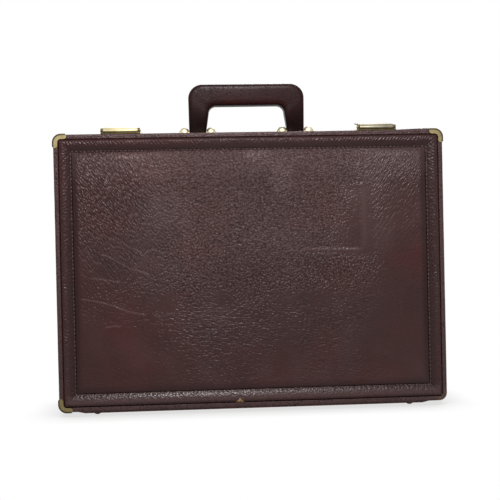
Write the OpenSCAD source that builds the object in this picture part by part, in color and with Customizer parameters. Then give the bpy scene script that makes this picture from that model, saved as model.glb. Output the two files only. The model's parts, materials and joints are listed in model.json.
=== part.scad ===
// Leather attache case standing on its hinge edge, lid to the front.
// X runs along the case, Y from the lid to the back, Z up. The origin is on the floor under the middle.

/* [Case] */
// Length of the case, outside of the leather
case_w = 445; // [400:5:500]
// Height of the case, outside of the leather
case_h = 314; // [280:2:350]
// Depth of the lid, from its face edge to the seam
lid_d = 38; // [34:1:50]
// Depth of the base, from the seam to its face edge
base_d = 58; // [50:1:80]
// Outer radius of the four corners
corner_r = 9; // [8:0.5:14]

/* [Walls] */
// Thickness of the outer leather
leather_t = 1.2; // [0.8:0.1:1.6]
// Radius of the leather where it turns over the face edge
edge_r = 1.1; // [0.6:0.1:1.1]
// Thickness of the wooden side walls
frame_t = 4; // [3:0.5:5]
// Thickness of the wooden face panels
panel_t = 3; // [2:0.5:4]
// Thickness of the suede lining
lining_t = 0.8; // [0.5:0.1:1.2]

/* [Padded faces] */
// Groove between the wall edge and the stitched border
groove_w = 1; // [0.5:0.25:2]
// Width of the raised border
border_w = 12.5; // [9:0.5:16]
// How far the border stands out past the wall edge
border_rise = 2.6; // [1.5:0.1:3]
// Stitched valley between the border and the pad
valley_w = 1.5; // [0.5:0.25:3]
// How far the middle of the pad stands out past the wall edge
pad_rise = 3; // [2.6:0.1:4]
// How far the pad rises from its middle edge to its centre
pad_crown = 1; // [0.4:0.1:1.4]
// Width of the rolled shoulder of the pad
pad_shoulder = 18; // [10:1:26]

/* [Seam rims] */
// Thickness of the metal rim
rim_t = 1.2; // [0.8:0.1:1.6]
// Width of the rim seen outside
rim_lip = 3; // [2:0.5:5]
// Width of the rim inside
rim_leg = 10; // [8:0.5:14]
// How far the tongue reaches into the lid
tongue_h = 4; // [3:0.5:5]
// Thickness of the tongue
tongue_t = 1; // [0.8:0.1:1.4]

/* [Hinge] */
// Each end of the hinge, in from the side of the case
hinge_in = 32.5; // [27:0.5:60]
// Number of knuckles
knuckles = 19; // [11:2:25]
// Outer diameter of a knuckle
knuckle_d = 3.8; // [3.4:0.1:4.2]
// Diameter of the hinge pin
hinge_pin_d = 1.6; // [1.2:0.1:2]
// Width of a hinge leaf
leaf_w = 9; // [7:0.5:10]
// Thickness of a hinge leaf
leaf_t = 1; // [0.6:0.1:1.2]

/* [Feet and wear strips] */
// Each end of a wear strip, in from the side of the case
strip_in = 21; // [17:0.5:40]
// Thickness of the wear strips
strip_t = 1.8; // [1:0.1:2.4]
// Taper at each end of a wear strip
strip_taper = 8; // [4:1:12]
// Diameter of a foot
foot_d = 10.5; // [8:0.5:13]
// How far a foot stands below its strip
foot_h = 3.2; // [2.6:0.1:5]
// Diameter of the worn flat under a foot
foot_flat_d = 4; // [2:0.5:6]
// Distance of a foot from the side of the case
foot_side = 41.5; // [30:0.5:60]
// Distance of a foot from the face edge
foot_in = 14; // [10:0.5:16]

/* [Corner caps] */
// Length of each leg of a cap, from the corner
cap_leg = 15.5; // [13:0.5:22]
// Width of a cap on the face
cap_face = 5.3; // [4:0.1:5.6]
// Depth of a cap over the wall
cap_deep = 13; // [9:0.5:18]
// Metal thickness of a cap
cap_t = 0.9; // [0.6:0.1:1.2]
// Outer rounding of a cap
cap_round = 1.6; // [1:0.1:1.9]

/* [Handle] */
// Distance of the handle from the back of the case
handle_back = 28; // [24:1:30]
// Outer width of the handle
handle_w = 140.5; // [120:0.5:160]
// Height of the handle over the case
handle_rise = 66; // [56:0.5:75]
// Height of the grip
grip_h = 26; // [20:0.5:28]
// Depth of the grip, front to back
grip_d = 20; // [16:0.5:24]
// Outer radius of the handle corners
handle_outer_r = 17; // [12:0.5:22]
// Inner radius of the hand opening
handle_inner_r = 9; // [6:0.5:12]
// Width of a leg at its pin
leg_w = 21.5; // [15:0.5:24]
// How much a leg widens towards the grip
leg_flare = 3; // [0:0.5:6]
// Height of the handle pins over the case
handle_axis_h = 8.5; // [8:0.25:12]
// Diameter of the leather eye round each pin
eye_d = 12; // [10:0.5:13]
// Diameter of the handle pins
handle_pin_d = 4; // [3:0.25:5]
// Wall of the brass eye tube
eye_tube_t = 0.8; // [0.5:0.1:1.2]
// Diameter of a brass lug
lug_d = 12; // [10.5:0.5:14]
// Width of a brass lug
lug_w = 9.7; // [7:0.1:10]
// Thickness of the bracket plate
bracket_t = 1.2; // [0.8:0.1:1.6]
// Length of the bracket plate, front to back
bracket_l = 30; // [28:1:36]

/* [Latches] */
// Distance of a latch's middle from the side of the case
latch_in = 75.5; // [60:0.5:90]
// Width of a latch
latch_w = 44.5; // [38:0.5:50]
// Thickness of the hasp base plate
hasp_base_t = 1.2; // [0.8:0.1:1.6]
// Distance of the hasp pin from the face edge
hasp_pin_in = 7; // [6:0.5:9]
// Diameter of the hasp barrel
hasp_barrel_d = 5.2; // [5:0.2:6.2]
// Diameter of the hasp pin
hasp_pin_d = 2.6; // [2:0.2:3.2]
// Thickness of the cheeks beside the barrel
cheek_t = 2.5; // [1.5:0.25:3.5]
// Length of the hasp behind its pin
hasp_l = 38; // [36:0.5:40]
// Thickness of the hasp plate
hasp_t = 1.5; // [1.2:0.1:2.2]
// Width of the staple under the hasp
staple_w = 8; // [6:0.5:12]
// Height of the lock case over the leather
lock_h = 5.8; // [5:0.1:6.4]
// Depth of the lock case, front to back
lock_l = 21; // [19:0.5:24]
// Thickness of the lock flange
lock_flange_t = 1; // [0.8:0.1:1.4]
// How far the release button slides
button_travel = 6; // [4:0.5:6.5]
// Length of the release button
button_l = 11; // [9:0.5:12]
// Width of the release button
button_w = 7; // [5:0.5:8]
// Diameter of the key plug
key_plug_d = 7.5; // [6:0.25:8]
// How far the right hasp stands open
right_hasp_lift = 10; // [0:1:30]

/* [Lid stays] */
// Distance of a stay pivot from the hinge pin
stay_r = 148; // [120:1:149]
// Distance of the stay pivots from the seam
stay_off = 20; // [16:1:22]
// Width of a stay arm
stay_w = 10; // [8:0.5:12]
// Thickness of a stay arm
stay_t = 1.5; // [1:0.1:2]
// Diameter of the stay pivots
stay_pin_d = 5; // [4:0.5:6]

/* [Lid organiser] */
// Width of the document pocket
pocket_w = 372; // [300:2:380]
// Height of the document pocket
pocket_h = 205; // [160:5:240]
// Room inside the document pocket
pocket_room = 9; // [6:0.5:10]
// Radius of the finger notch in the document pocket
notch_r = 34; // [25:1:45]
// Depth of the finger notch
notch_h = 12; // [8:1:16]
// Thickness of the pocket leather
pocket_t = 1.4; // [1:0.1:2]
// Width of the card pocket
card_w = 112; // [90:2:130]
// Height of the card pocket
card_h = 72; // [60:2:90]
// Inner diameter of a pen loop
pen_d = 11; // [9:0.5:12]
// Thickness of the loops' leather
loop_t = 1.2; // [0.8:0.1:2]
// Length of each loop along the pen
loop_len = 26; // [15:1:40]
// Stitched strip between two pen loops
loop_gap = 6; // [5:0.5:10]
// Number of pen loops
pen_loops_n = 3; // [2:1:4]

/* [Fasteners] */
// Diameter of a screw or rivet head
head_d = 4; // [3:0.25:5]
// Height of a screw or rivet head
head_h = 0.8; // [0.5:0.1:0.9]
// Diameter of a hinge screw's flat head
hinge_screw_d = 3; // [2.4:0.1:3.4]
// Height of a hinge screw's flat head
hinge_screw_h = 0.5; // [0.3:0.1:0.8]
// Width of a screw slot
slot_w = 0.5; // [0.4:0.1:0.8]
// Hinge screws in each leaf
hinge_screws_n = 10; // [6:1:14]

/* [Fits] */
// Radial clearance round a turning pin
pin_fit = 0.05; // [0.02:0.01:0.1]
// Side clearance between sliding or turning faces
side_fit = 0.3; // [0.15:0.05:0.5]

/* [Hidden] */
$fn = 64;

wall_t = leather_t + frame_t;
case_d = lid_d + base_d;
bottom_z = foot_h + strip_t;
top_z = bottom_z + case_h;
mid_z = bottom_z + case_h / 2;
face_y = case_d / 2;
seam_y = lid_d - face_y;
inner_x = case_w / 2 - wall_t;
hinge_l = case_w - 2 * hinge_in;
strip_l = case_w - 2 * strip_in;
foot_x = case_w / 2 - foot_side;
latch_x = case_w / 2 - latch_in;
hinge_z = bottom_z - knuckle_d / 2 - 0.2;

// Both halves are drawn face down, with local z growing from the face edge to the seam.
module on_base() translate([0, face_y, mid_z]) rotate([90, 0, 0]) children();
module on_lid() translate([0, -face_y, mid_z]) rotate([90, 0, 180]) mirror([1, 0, 0]) children();

// A rectangle with true round corners
module round_rect(w, h, r) {
    square([w - 2 * r, h], center = true);
    square([w, h - 2 * r], center = true);
    for (x = [-1, 1], y = [-1, 1]) translate([x * (w / 2 - r), y * (h / 2 - r)]) circle(r);
}

// Sweeps a section round a rectangle with round corners.
// In the section, x grows outwards from the centre of the corner radius and y grows with depth.
module sweep_frame(w, h, r) {
    half = [w / 2 - r, h / 2 - r];
    for (i = [0:3]) {
        across = half[i % 2];
        along = half[(i + 1) % 2];
        rotate([0, 0, 90 * i]) translate([across, 0, 0]) rotate([90, 0, 0])
            linear_extrude(2 * along, center = true) children();
        rotate([0, 0, 90 * i]) translate([across, along, 0])
            rotate_extrude(angle = 90) children();
    }
}

module section(x0, x1, y0, y1) translate([x0, y0]) square([x1 - x0, y1 - y0]);

// The walls, their leather, the lining and the rims, which the lid and the base share

module wall_ring(depth) color("burlywood")
    sweep_frame(case_w, case_h, corner_r)
        section(corner_r - wall_t, corner_r - leather_t, leather_t, depth - rim_t);

module leather_skin(depth) color("#4a2724")
    sweep_frame(case_w, case_h, corner_r) {
        section(corner_r - wall_t, corner_r - edge_r, 0, leather_t);
        section(corner_r - leather_t, corner_r, edge_r, depth - rim_lip);
        translate([corner_r - edge_r, edge_r]) intersection() {
            circle(edge_r);
            section(0, edge_r, -edge_r, 0);
        }
    }

module face_panel() color("burlywood")
    translate([0, 0, leather_t]) linear_extrude(panel_t)
        round_rect(case_w - 2 * wall_t, case_h - 2 * wall_t, corner_r - wall_t);

module lining(depth) color("#8a6a4a") {
    z0 = leather_t + panel_t;
    inner_r = corner_r - wall_t;
    inner = [case_w - 2 * wall_t, case_h - 2 * wall_t];
    difference() {
        translate([0, 0, z0]) linear_extrude(depth - rim_leg - z0)
            round_rect(inner[0], inner[1], inner_r);
        translate([0, 0, z0 + lining_t]) linear_extrude(depth)
            round_rect(inner[0] - 2 * lining_t, inner[1] - 2 * lining_t, inner_r - lining_t);
    }
}

// Metal rim of U section over the seam edge of a wall
module rim_section(depth, inner_t, leg_end) {
    inner_r = corner_r - wall_t;
    section(inner_r - inner_t, corner_r, depth - rim_t, depth);
    section(corner_r - leather_t, corner_r, depth - rim_lip, depth);
    section(inner_r - inner_t, inner_r, depth - rim_leg, leg_end);
}

tongue_gap = 0.4;
lid_leg_t = tongue_t;
base_leg_t = tongue_t + tongue_gap;

// Border of the face: a rounded bead with mitred corners
module mitred_bead(w, h, bead_w, rise, foot) {
    sagitta = rise + foot - 1;
    bead_r = (pow(bead_w / 2, 2) + pow(sagitta, 2)) / (2 * sagitta);
    half = [w / 2, h / 2];
    for (i = [0:3]) {
        across = half[i % 2];
        along = half[(i + 1) % 2];
        rotate([0, 0, 90 * i]) intersection() {
            translate([across - bead_w / 2, 0, 0]) rotate([90, 0, 0])
                linear_extrude(2 * along, center = true) intersection() {
                    translate([0, bead_r - rise]) circle(bead_r);
                    section(-bead_w / 2, bead_w / 2, -rise - 1, foot);
                }
            translate([0, 0, -rise - 1]) linear_extrude(rise + foot + 2) polygon([
                [across, -along], [across, along],
                [across - bead_w, along - bead_w], [across - bead_w, -along + bead_w]
            ]);
        }
    }
}

module face_border() color("#4a2724")
    mitred_bead(case_w - 2 * (wall_t + groove_w), case_h - 2 * (wall_t + groove_w),
        border_w, border_rise, leather_t);

// Padded middle of a face: a crowned pad with a rolled shoulder all round
pad_cells = [28, 20];
pad_size = [for (s = [case_w, case_h]) s - 2 * (wall_t + groove_w + border_w + valley_w)];
pad_edge = 0.8;

function pad_at(i, axis) = pad_size[axis] / 2 * sin(180 * (i / pad_cells[axis] - 0.5));
function shoulder(d) = let (s = min(d / pad_shoulder, 1)) sqrt(1 - pow(1 - s, 2));
function pad_height(x, y) = pad_edge
    + (leather_t + pad_rise - pad_crown - pad_edge)
        * shoulder(pad_size[0] / 2 - abs(x)) * shoulder(pad_size[1] / 2 - abs(y))
    + pad_crown * (1 - pow(2 * x / pad_size[0], 2)) * (1 - pow(2 * y / pad_size[1], 2));

module face_pad() color("#50292a") {
    nx = pad_cells[0] + 1;
    ny = pad_cells[1] + 1;
    top = [for (j = [0:ny - 1], i = [0:nx - 1])
        let (x = pad_at(i, 0), y = pad_at(j, 1)) [x, y, leather_t - pad_height(x, y)]];
    bottom = [for (j = [0:ny - 1], i = [0:nx - 1]) [pad_at(i, 0), pad_at(j, 1), leather_t]];
    n = nx * ny;
    rim = concat(
        [for (i = [0:nx - 2]) i],
        [for (j = [0:ny - 2]) j * nx + nx - 1],
        [for (i = [0:nx - 2]) n - 1 - i],
        [for (j = [0:ny - 2]) (ny - 1 - j) * nx]
    );
    cells = [for (j = [0:ny - 2], i = [0:nx - 2]) j * nx + i];
    polyhedron(
        points = concat(top, bottom),
        faces = concat(
            [for (a = cells) [a, a + 1, a + nx]],
            [for (a = cells) [a + 1, a + nx + 1, a + nx]],
            [for (a = cells) [n + a, n + a + nx, n + a + 1]],
            [for (a = cells) [n + a + 1, n + a + nx, n + a + nx + 1]],
            [for (k = [0:len(rim) - 1]) let (a = rim[k], b = rim[(k + 1) % len(rim)]) [a, n + a, b]],
            [for (k = [0:len(rim) - 1]) let (a = rim[k], b = rim[(k + 1) % len(rim)]) [n + a, n + b, b]]
        )
    );
}

// Brass corner cap: an angle that wraps the wall edge, with rounded ends
module cap_section() {
    x0 = corner_r - cap_face;
    x1 = corner_r + cap_t;
    difference() {
        union() {
            section(x0, x1 - cap_round, -cap_t, cap_deep);
            section(x0, x1, cap_round - cap_t, cap_deep);
            translate([x1 - cap_round, cap_round - cap_t]) circle(cap_round);
        }
        section(x0 - 1, corner_r - leather_t, 0, cap_deep + 1);
        section(x0 - 1, corner_r, edge_r, cap_deep + 1);
        translate([corner_r - edge_r, edge_r]) circle(edge_r);
    }
}

module corner_cap(x, y) {
    half = [case_w / 2 - corner_r, case_h / 2 - corner_r];
    reach = cap_leg - corner_r;
    end_r = (cap_face + cap_t) / 2;
    strip = corner_r + cap_t - end_r;
    intersection() {
        sweep_frame(case_w, case_h, corner_r) cap_section();
        translate([x * half[0], y * half[1], -cap_t - 1]) scale([x, y, 1])
            linear_extrude(cap_deep + cap_t + 2) {
                square(corner_r + cap_t + 1);
                translate([end_r - reach, strip - end_r]) square([reach, 2 * end_r + 1]);
                translate([strip - end_r, end_r - reach]) square([2 * end_r + 1, reach]);
                translate([end_r - reach, strip]) circle(end_r);
                translate([strip, end_r - reach]) circle(end_r);
            }
    }
}

// Nail heads on the two legs of a cap, out on the wall
module cap_nails(x, y) {
    deep = cap_deep * 0.62;
    along = cap_leg * 0.62;
    translate([x * (case_w / 2 - along), y * (case_h / 2 + cap_t), deep]) rotate([-90 * y, 0, 0]) head();
    translate([x * (case_w / 2 + cap_t), y * (case_h / 2 - along), deep]) rotate([0, 90 * x, 0]) head();
}

// Domed head of a screw, rivet or nail, with its seat at z = 0
module head(d = head_d, h = head_h) {
    dome_r = (pow(d / 2, 2) + h * h) / (2 * h);
    rotate_extrude() intersection() {
        translate([0, h - dome_r]) circle(dome_r);
        square([d / 2, h]);
    }
}

module screw_head() difference() {
    head();
    translate([-head_d, -slot_w / 2, head_h * 0.45]) cube([2 * head_d, slot_w, head_h]);
}

// Flat head of a hinge screw, standing a little proud of the leaf
module hinge_screw_head() difference() {
    cylinder(d = hinge_screw_d, h = hinge_screw_h);
    translate([-hinge_screw_d, -slot_w / 2, hinge_screw_h / 2]) cube([2 * hinge_screw_d, slot_w, hinge_screw_h]);
}

// Wear strip under a half, tapered at its ends
module wear_strip(w) color("#5a302c")
    rotate([90, 0, 0]) linear_extrude(w, center = true) polygon([
        [-strip_l / 2, 0], [strip_l / 2, 0],
        [strip_l / 2 - strip_taper, -strip_t], [-strip_l / 2 + strip_taper, -strip_t]
    ]);

// Foot, from its seat down to the worn flat
module foot() color("#a39a86") rotate([180, 0, 0]) rotate_extrude() {
    collar_h = 0.8;
    dome_h = foot_h - collar_h;
    dome_r = (pow(foot_d / 2 - 0.4, 2) - pow(foot_flat_d / 2, 2) + dome_h * dome_h) / (2 * dome_h);
    square([foot_d / 2, collar_h]);
    intersection() {
        translate([0, foot_h - sqrt(dome_r * dome_r - pow(foot_flat_d / 2, 2))]) circle(dome_r);
        square([foot_d / 2 - 0.4, foot_h]);
    }
}

strip_gap = 2;
lid_strip_w = lid_d - leaf_w - strip_gap - 2;
base_strip_w = base_d - leaf_w - strip_gap - 2;

// Knuckles of one leaf: every second one, drawn at the hinge pin along X
knuckle_l = hinge_l / knuckles;
knuckle_side = 0.2;

module hinge_leaf(side) color("#b08d4f") {
    first = side > 0 ? 0 : 1;
    near = knuckle_d / 2 + side_fit;
    lift = bottom_z - hinge_z;
    difference() {
        union() {
            translate([-hinge_l / 2, min(side * near, side * leaf_w), lift - leaf_t])
                cube([hinge_l, leaf_w - near, leaf_t]);
            for (i = [first:2:knuckles - 1]) translate([-hinge_l / 2 + i * knuckle_l, 0, 0]) {
                translate([knuckle_side / 2, 0, 0]) rotate([0, 90, 0])
                    cylinder(d = knuckle_d, h = knuckle_l - knuckle_side);
                translate([knuckle_side / 2, min(0, side * near), lift - leaf_t])
                    cube([knuckle_l - knuckle_side, near, leaf_t]);
            }
        }
        rotate([0, 90, 0]) cylinder(d = hinge_pin_d + 2 * pin_fit, h = hinge_l + 2, center = true);
    }
}

module hinge_screws(side) color("#8f7440")
    for (i = [0:hinge_screws_n - 1])
        translate([hinge_l * ((i + 0.5) / hinge_screws_n - 0.5), side * (leaf_w * 0.62), 0])
            rotate([180, 0, 0]) hinge_screw_head();

// Handle

handle_y = face_y - handle_back;
handle_z = top_z + handle_axis_h;
handle_top = handle_rise - handle_axis_h;
eye_x = handle_w / 2 - leg_w / 2;
leg_steps = 3;
bend_steps = 7;
ring_n = 20;
ring_power = 0.8;
leg_ease = 0.4;

function mix(a, b, t) = a + (b - a) * t;
// Stations from the right eye up to the middle of the grip: outer point, inner point, half depth
handle_half = concat(
    [for (k = [0:leg_steps]) let (t = k / leg_steps) [
        [handle_w / 2 - leg_ease * (1 - t), t * (handle_top - handle_outer_r)],
        [handle_w / 2 - leg_w - t * leg_flare + leg_ease * (1 - t),
            t * (handle_top - grip_h - handle_inner_r)],
        mix(eye_d / 2 - leg_ease, grip_d / 2, t)
    ]],
    [for (k = [1:bend_steps]) let (a = 90 * k / bend_steps) [
        [handle_w / 2 - handle_outer_r * (1 - cos(a)), handle_top - handle_outer_r * (1 - sin(a))],
        [handle_w / 2 - leg_w - leg_flare - handle_inner_r * (1 - cos(a)),
            handle_top - grip_h - handle_inner_r * (1 - sin(a))],
        grip_d / 2
    ]]
);
handle_mid = [[[0, handle_top], [0, handle_top - grip_h], grip_d / 2]];
function across_x(s) = [[-s[0][0], s[0][1]], [-s[1][0], s[1][1]], s[2]];
handle_stations = concat(handle_half, handle_mid,
    [for (k = [len(handle_half) - 1:-1:0]) across_x(handle_half[k])]);

function bulge(v) = sign(v) * pow(abs(v), ring_power);
function ring_point(s, a) =
    let (mid = (s[0] + s[1]) / 2, half = (s[0] - s[1]) / 2 * bulge(cos(a)))
    [mid[0] + half[0], s[2] * bulge(sin(a)), mid[1] + half[1]];

module handle_loft() {
    rings = len(handle_stations);
    points = [for (s = handle_stations, k = [0:ring_n - 1]) ring_point(s, 360 * k / ring_n)];
    faces = concat(
        [for (r = [0:rings - 2], k = [0:ring_n - 1])
            let (a = r * ring_n + k, b = r * ring_n + (k + 1) % ring_n) [a, a + ring_n, b]],
        [for (r = [0:rings - 2], k = [0:ring_n - 1])
            let (a = r * ring_n + k, b = r * ring_n + (k + 1) % ring_n) [b, a + ring_n, b + ring_n]],
        [for (k = [1:ring_n - 2]) [0, k, k + 1]],
        [for (k = [1:ring_n - 2]) let (a = (rings - 1) * ring_n) [a, a + k + 1, a + k]]
    );
    polyhedron(points = points, faces = faces);
}

module handle_grip() color("#4a2422") translate([0, handle_y, handle_z]) difference() {
    union() {
        handle_loft();
        for (side = [-1, 1]) translate([side * eye_x, 0, 0]) rotate([0, 90, 0])
            cylinder(d = eye_d, h = leg_w, center = true);
    }
    for (side = [-1, 1]) translate([side * eye_x, 0, 0]) rotate([0, 90, 0])
        cylinder(d = handle_pin_d + 2 * (pin_fit + eye_tube_t), h = leg_w + 2, center = true);
}

module handle_eye_tubes() color("#a8843f") translate([0, handle_y, handle_z])
    for (side = [-1, 1]) translate([side * eye_x, 0, 0]) rotate([0, 90, 0]) difference() {
        cylinder(d = handle_pin_d + 2 * (pin_fit + eye_tube_t), h = leg_w, center = true);
        cylinder(d = handle_pin_d + 2 * pin_fit, h = leg_w + 2, center = true);
    }

lug_mid = leg_w / 2 + side_fit + lug_w / 2;
bracket_w = 2 * (lug_mid + lug_w / 2) + 2;

module lug() intersection() {
    union() {
        sphere(d = lug_d);
        translate([-lug_w / 2, -lug_d * 0.36, -handle_axis_h + bracket_t])
            cube([lug_w, lug_d * 0.72, handle_axis_h - bracket_t]);
    }
    translate([-lug_w / 2, -lug_d, -handle_axis_h]) cube([lug_w, 2 * lug_d, 3 * handle_axis_h]);
}

module handle_bracket(side) color("#a8843f") translate([side * eye_x, handle_y, handle_z])
    difference() {
        union() {
            translate([0, 0, -handle_axis_h]) linear_extrude(bracket_t)
                round_rect(bracket_w, bracket_l, 4);
            for (s = [-1, 1]) translate([s * lug_mid, 0, 0]) lug();
        }
        rotate([0, 90, 0]) cylinder(d = handle_pin_d + 2 * pin_fit, h = bracket_w + 2, center = true);
    }

module handle_pin(side) color("#c4a35a") translate([side * eye_x, handle_y, handle_z]) {
    half = lug_mid + lug_w / 2 + side_fit;
    rotate([0, 90, 0]) cylinder(d = handle_pin_d, h = 2 * half, center = true);
    for (s = [-1, 1]) translate([s * half, 0, 0]) rotate([0, 90 * s, 0]) head(handle_pin_d + 2.4, 1.4);
}

module bracket_screws() color("#c4a35a")
    for (side = [-1, 1], s = [-1, 1])
        translate([side * eye_x, handle_y + s * (bracket_l / 2 - head_d / 2 - 1.2), top_z + bracket_t])
            rotate([0, 0, 30]) screw_head();

// Latches, drawn round the middle of a latch, with z = 0 on the leather

hasp_y = -face_y + hasp_pin_in;
hasp_axis_h = hasp_base_t + hasp_barrel_d / 2 + 0.3;
hasp_under = lock_h + side_fit;
barrel_w = latch_w - 2 * (cheek_t + side_fit);
lock_front = seam_y + 0.8;
staple_y = hasp_y + hasp_l - 3.6;
staple_t = 2.6;
staple_end = lock_flange_t + 1.4;
button_y = lock_front + lock_l - button_w / 2 - 2.2;
button_x = latch_w / 2 - button_travel - button_l / 2 - 1;
key_x = -latch_w / 2 + key_plug_d / 2 + 6;
stem_w = 3;
stem_l = 4;
stem_deep = 3;

module at_latch(side) translate([side * latch_x, 0, top_z]) scale([side, 1, 1]) children();

module hasp_base() color("#6d5f3c") {
    back = seam_y - 2.5;
    front = -face_y + 1.6;
    difference() {
        union() {
            translate([0, (front + back) / 2, 0]) linear_extrude(hasp_base_t)
                round_rect(latch_w, back - front, 1.5);
            for (s = [-1, 1]) translate([s * (latch_w - cheek_t) / 2, hasp_y, 0]) {
                translate([0, 0, hasp_axis_h]) rotate([0, 90, 0])
                    cylinder(d = hasp_barrel_d + 0.6, h = cheek_t, center = true);
                translate([-cheek_t / 2, -hasp_barrel_d / 2, hasp_base_t / 2])
                    cube([cheek_t, hasp_barrel_d, hasp_axis_h - hasp_base_t / 2]);
            }
        }
        translate([0, hasp_y, hasp_axis_h]) rotate([0, 90, 0])
            cylinder(d = hasp_pin_d + 2 * pin_fit, h = latch_w + 2, center = true);
    }
}

module hasp_pin() color("#c4a35a") translate([0, hasp_y, hasp_axis_h]) {
    rotate([0, 90, 0]) cylinder(d = hasp_pin_d, h = latch_w, center = true);
    for (s = [-1, 1]) translate([s * latch_w / 2, 0, 0]) rotate([0, 90 * s, 0]) head(hasp_pin_d + 1.6, 0.8);
}

module hasp(lift) color("#a8843f") translate([0, hasp_y, hasp_axis_h]) rotate([lift, 0, 0])
    translate([0, -hasp_y, -hasp_axis_h]) difference() {
        union() {
            translate([0, hasp_y, hasp_axis_h]) rotate([0, 90, 0])
                cylinder(d = hasp_barrel_d, h = barrel_w, center = true);
            translate([0, hasp_y + hasp_l / 2, hasp_under]) linear_extrude(hasp_t) {
                translate([-barrel_w / 2, -hasp_l / 2]) square([barrel_w, hasp_l - 6]);
                translate([-barrel_w / 2 + 6, -hasp_l / 2]) square([barrel_w - 12, hasp_l]);
                for (s = [-1, 1]) translate([s * (barrel_w / 2 - 6), hasp_l / 2 - 6]) circle(6);
            }
            translate([0, hasp_y + hasp_l, hasp_under + hasp_t - 0.9]) rotate([0, 90, 0])
                cylinder(r = 0.9, h = barrel_w - 12, center = true);
            translate([-staple_w / 2, staple_y - staple_t / 2, staple_end])
                cube([staple_w, staple_t, hasp_under + hasp_t / 2 - staple_end]);
        }
        translate([0, hasp_y, hasp_axis_h]) rotate([0, 90, 0])
            cylinder(d = hasp_pin_d + 2 * pin_fit, h = barrel_w + 2, center = true);
        translate([-staple_w / 2 + 2, staple_y - staple_t, staple_end + 1])
            cube([staple_w - 4, 2 * staple_t, 2]);
    }

module lock_case() color("#a8843f") {
    flange_l = lock_l + 6;
    difference() {
        union() {
            translate([-latch_w / 2, lock_front, 0]) cube([latch_w, flange_l, lock_flange_t]);
            translate([0, lock_front, 0]) rotate([90, 0, 90]) linear_extrude(latch_w, center = true) {
                round_top = 1.6;
                section(0, lock_l, 0, lock_h - round_top);
                section(round_top, lock_l - round_top, 0, lock_h);
                for (y = [round_top, lock_l - round_top]) translate([y, lock_h - round_top])
                    circle(round_top);
            }
        }
        translate([-staple_w / 2 - 0.5, staple_y - staple_t / 2 - 0.6, staple_end - 0.6])
            cube([staple_w + 1, staple_t + 1.2, lock_h]);
        translate([button_x - stem_l / 2 - side_fit, button_y - stem_w / 2 - side_fit, lock_h - stem_deep - side_fit])
            cube([stem_l + button_travel + 2 * side_fit, stem_w + 2 * side_fit, stem_deep + 1]);
        translate([key_x, button_y, lock_flange_t + 1])
            cylinder(d = key_plug_d + 2 * pin_fit, h = lock_h);
    }
}

module latch_button() color("#c4a35a") translate([button_x, button_y, lock_h]) {
    translate([0, 0, side_fit / 2]) linear_extrude(1.6) round_rect(button_l, button_w, 2);
    translate([-stem_l / 2, -stem_w / 2, -stem_deep]) cube([stem_l, stem_w, stem_deep + 1]);
    for (i = [-2:2]) translate([i * 1.6 - 0.4, -button_w / 2 + 1, side_fit / 2 + 1])
        cube([0.8, button_w - 2, 1.2]);
}

module key_plug() color("#c4a35a") translate([key_x, button_y, 0]) {
    bottom = lock_flange_t + 1 + side_fit / 2;
    difference() {
        union() {
            translate([0, 0, bottom]) cylinder(d = key_plug_d, h = lock_h + side_fit / 2 - bottom);
            translate([0, 0, lock_h + side_fit / 2]) cylinder(d = key_plug_d + 1.2, h = 0.8);
        }
        translate([0, 0, lock_h - 2]) cylinder(d = 1.8, h = 4);
        translate([-0.5, -2.6, lock_h - 2]) cube([1, 2.6, 4]);
    }
}

// Lid stays: two equal links and the two halves make a parallelogram with the hinge

stay_up = sqrt(stay_r * stay_r - stay_off * stay_off);
stay_arm_x = inner_x - lining_t - 4.9;
stay_link_x = stay_arm_x + stay_t / 2 + side_fit + stay_t / 2;
stay_wall_x = inner_x - lining_t;
base_pivot = [stay_off, stay_up];
lid_pivot = [-stay_off, stay_up];
elbow = base_pivot + lid_pivot;

// A flat link between two points of the YZ plane, measured from the hinge pin
module flat_link(from, to) {
    run = to - from;
    translate([from[0], from[1]]) rotate([0, 0, atan2(run[1], run[0])]) {
        translate([0, -stay_w / 2]) square([norm(run), stay_w]);
        circle(d = stay_w);
        translate([norm(run), 0]) circle(d = stay_w);
    }
}

module in_side_plane(side, x) translate([side * x, seam_y, hinge_z]) rotate([90, 0, 90]) children();

module stay_arm(side) color("#b08d4f") {
    in_side_plane(side, stay_arm_x) translate([0, 0, -stay_t / 2]) difference() {
        linear_extrude(stay_t) flat_link(base_pivot, elbow);
        translate([base_pivot[0], base_pivot[1], -1])
            cylinder(d = stay_pin_d + 2 * pin_fit, h = stay_t + 2);
    }
    reach = stay_link_x + stay_t / 2 + 0.3 - stay_arm_x;
    in_side_plane(side, stay_arm_x + reach / 2)
        translate([elbow[0], elbow[1], 0]) cylinder(d = stay_pin_d, h = reach, center = true);
    translate([side * (stay_arm_x - stay_t / 2), seam_y + elbow[0], hinge_z + elbow[1]])
        rotate([0, -90 * side, 0]) head(stay_pin_d + 3, 1);
}

module stay_link(side) color("#b08d4f")
    in_side_plane(side, stay_link_x) translate([0, 0, -stay_t / 2]) difference() {
        linear_extrude(stay_t) flat_link(lid_pivot, elbow);
        for (p = [lid_pivot, elbow]) translate([p[0], p[1], -1])
            cylinder(d = stay_pin_d + 2 * pin_fit, h = stay_t + 2);
    }

// Shouldered stud from the lining inwards through one link, with a head on its far side
module stay_stud(plane_x) {
    shoulder_h = stay_wall_x - plane_x - stay_t / 2 - side_fit;
    cylinder(d = stay_pin_d + 7, h = 0.8);
    cylinder(d = stay_pin_d + 3, h = shoulder_h);
    cylinder(d = stay_pin_d, h = shoulder_h + stay_t + 2 * side_fit);
    translate([0, 0, shoulder_h + stay_t + 2 * side_fit]) head(stay_pin_d + 3, 1);
}

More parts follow.
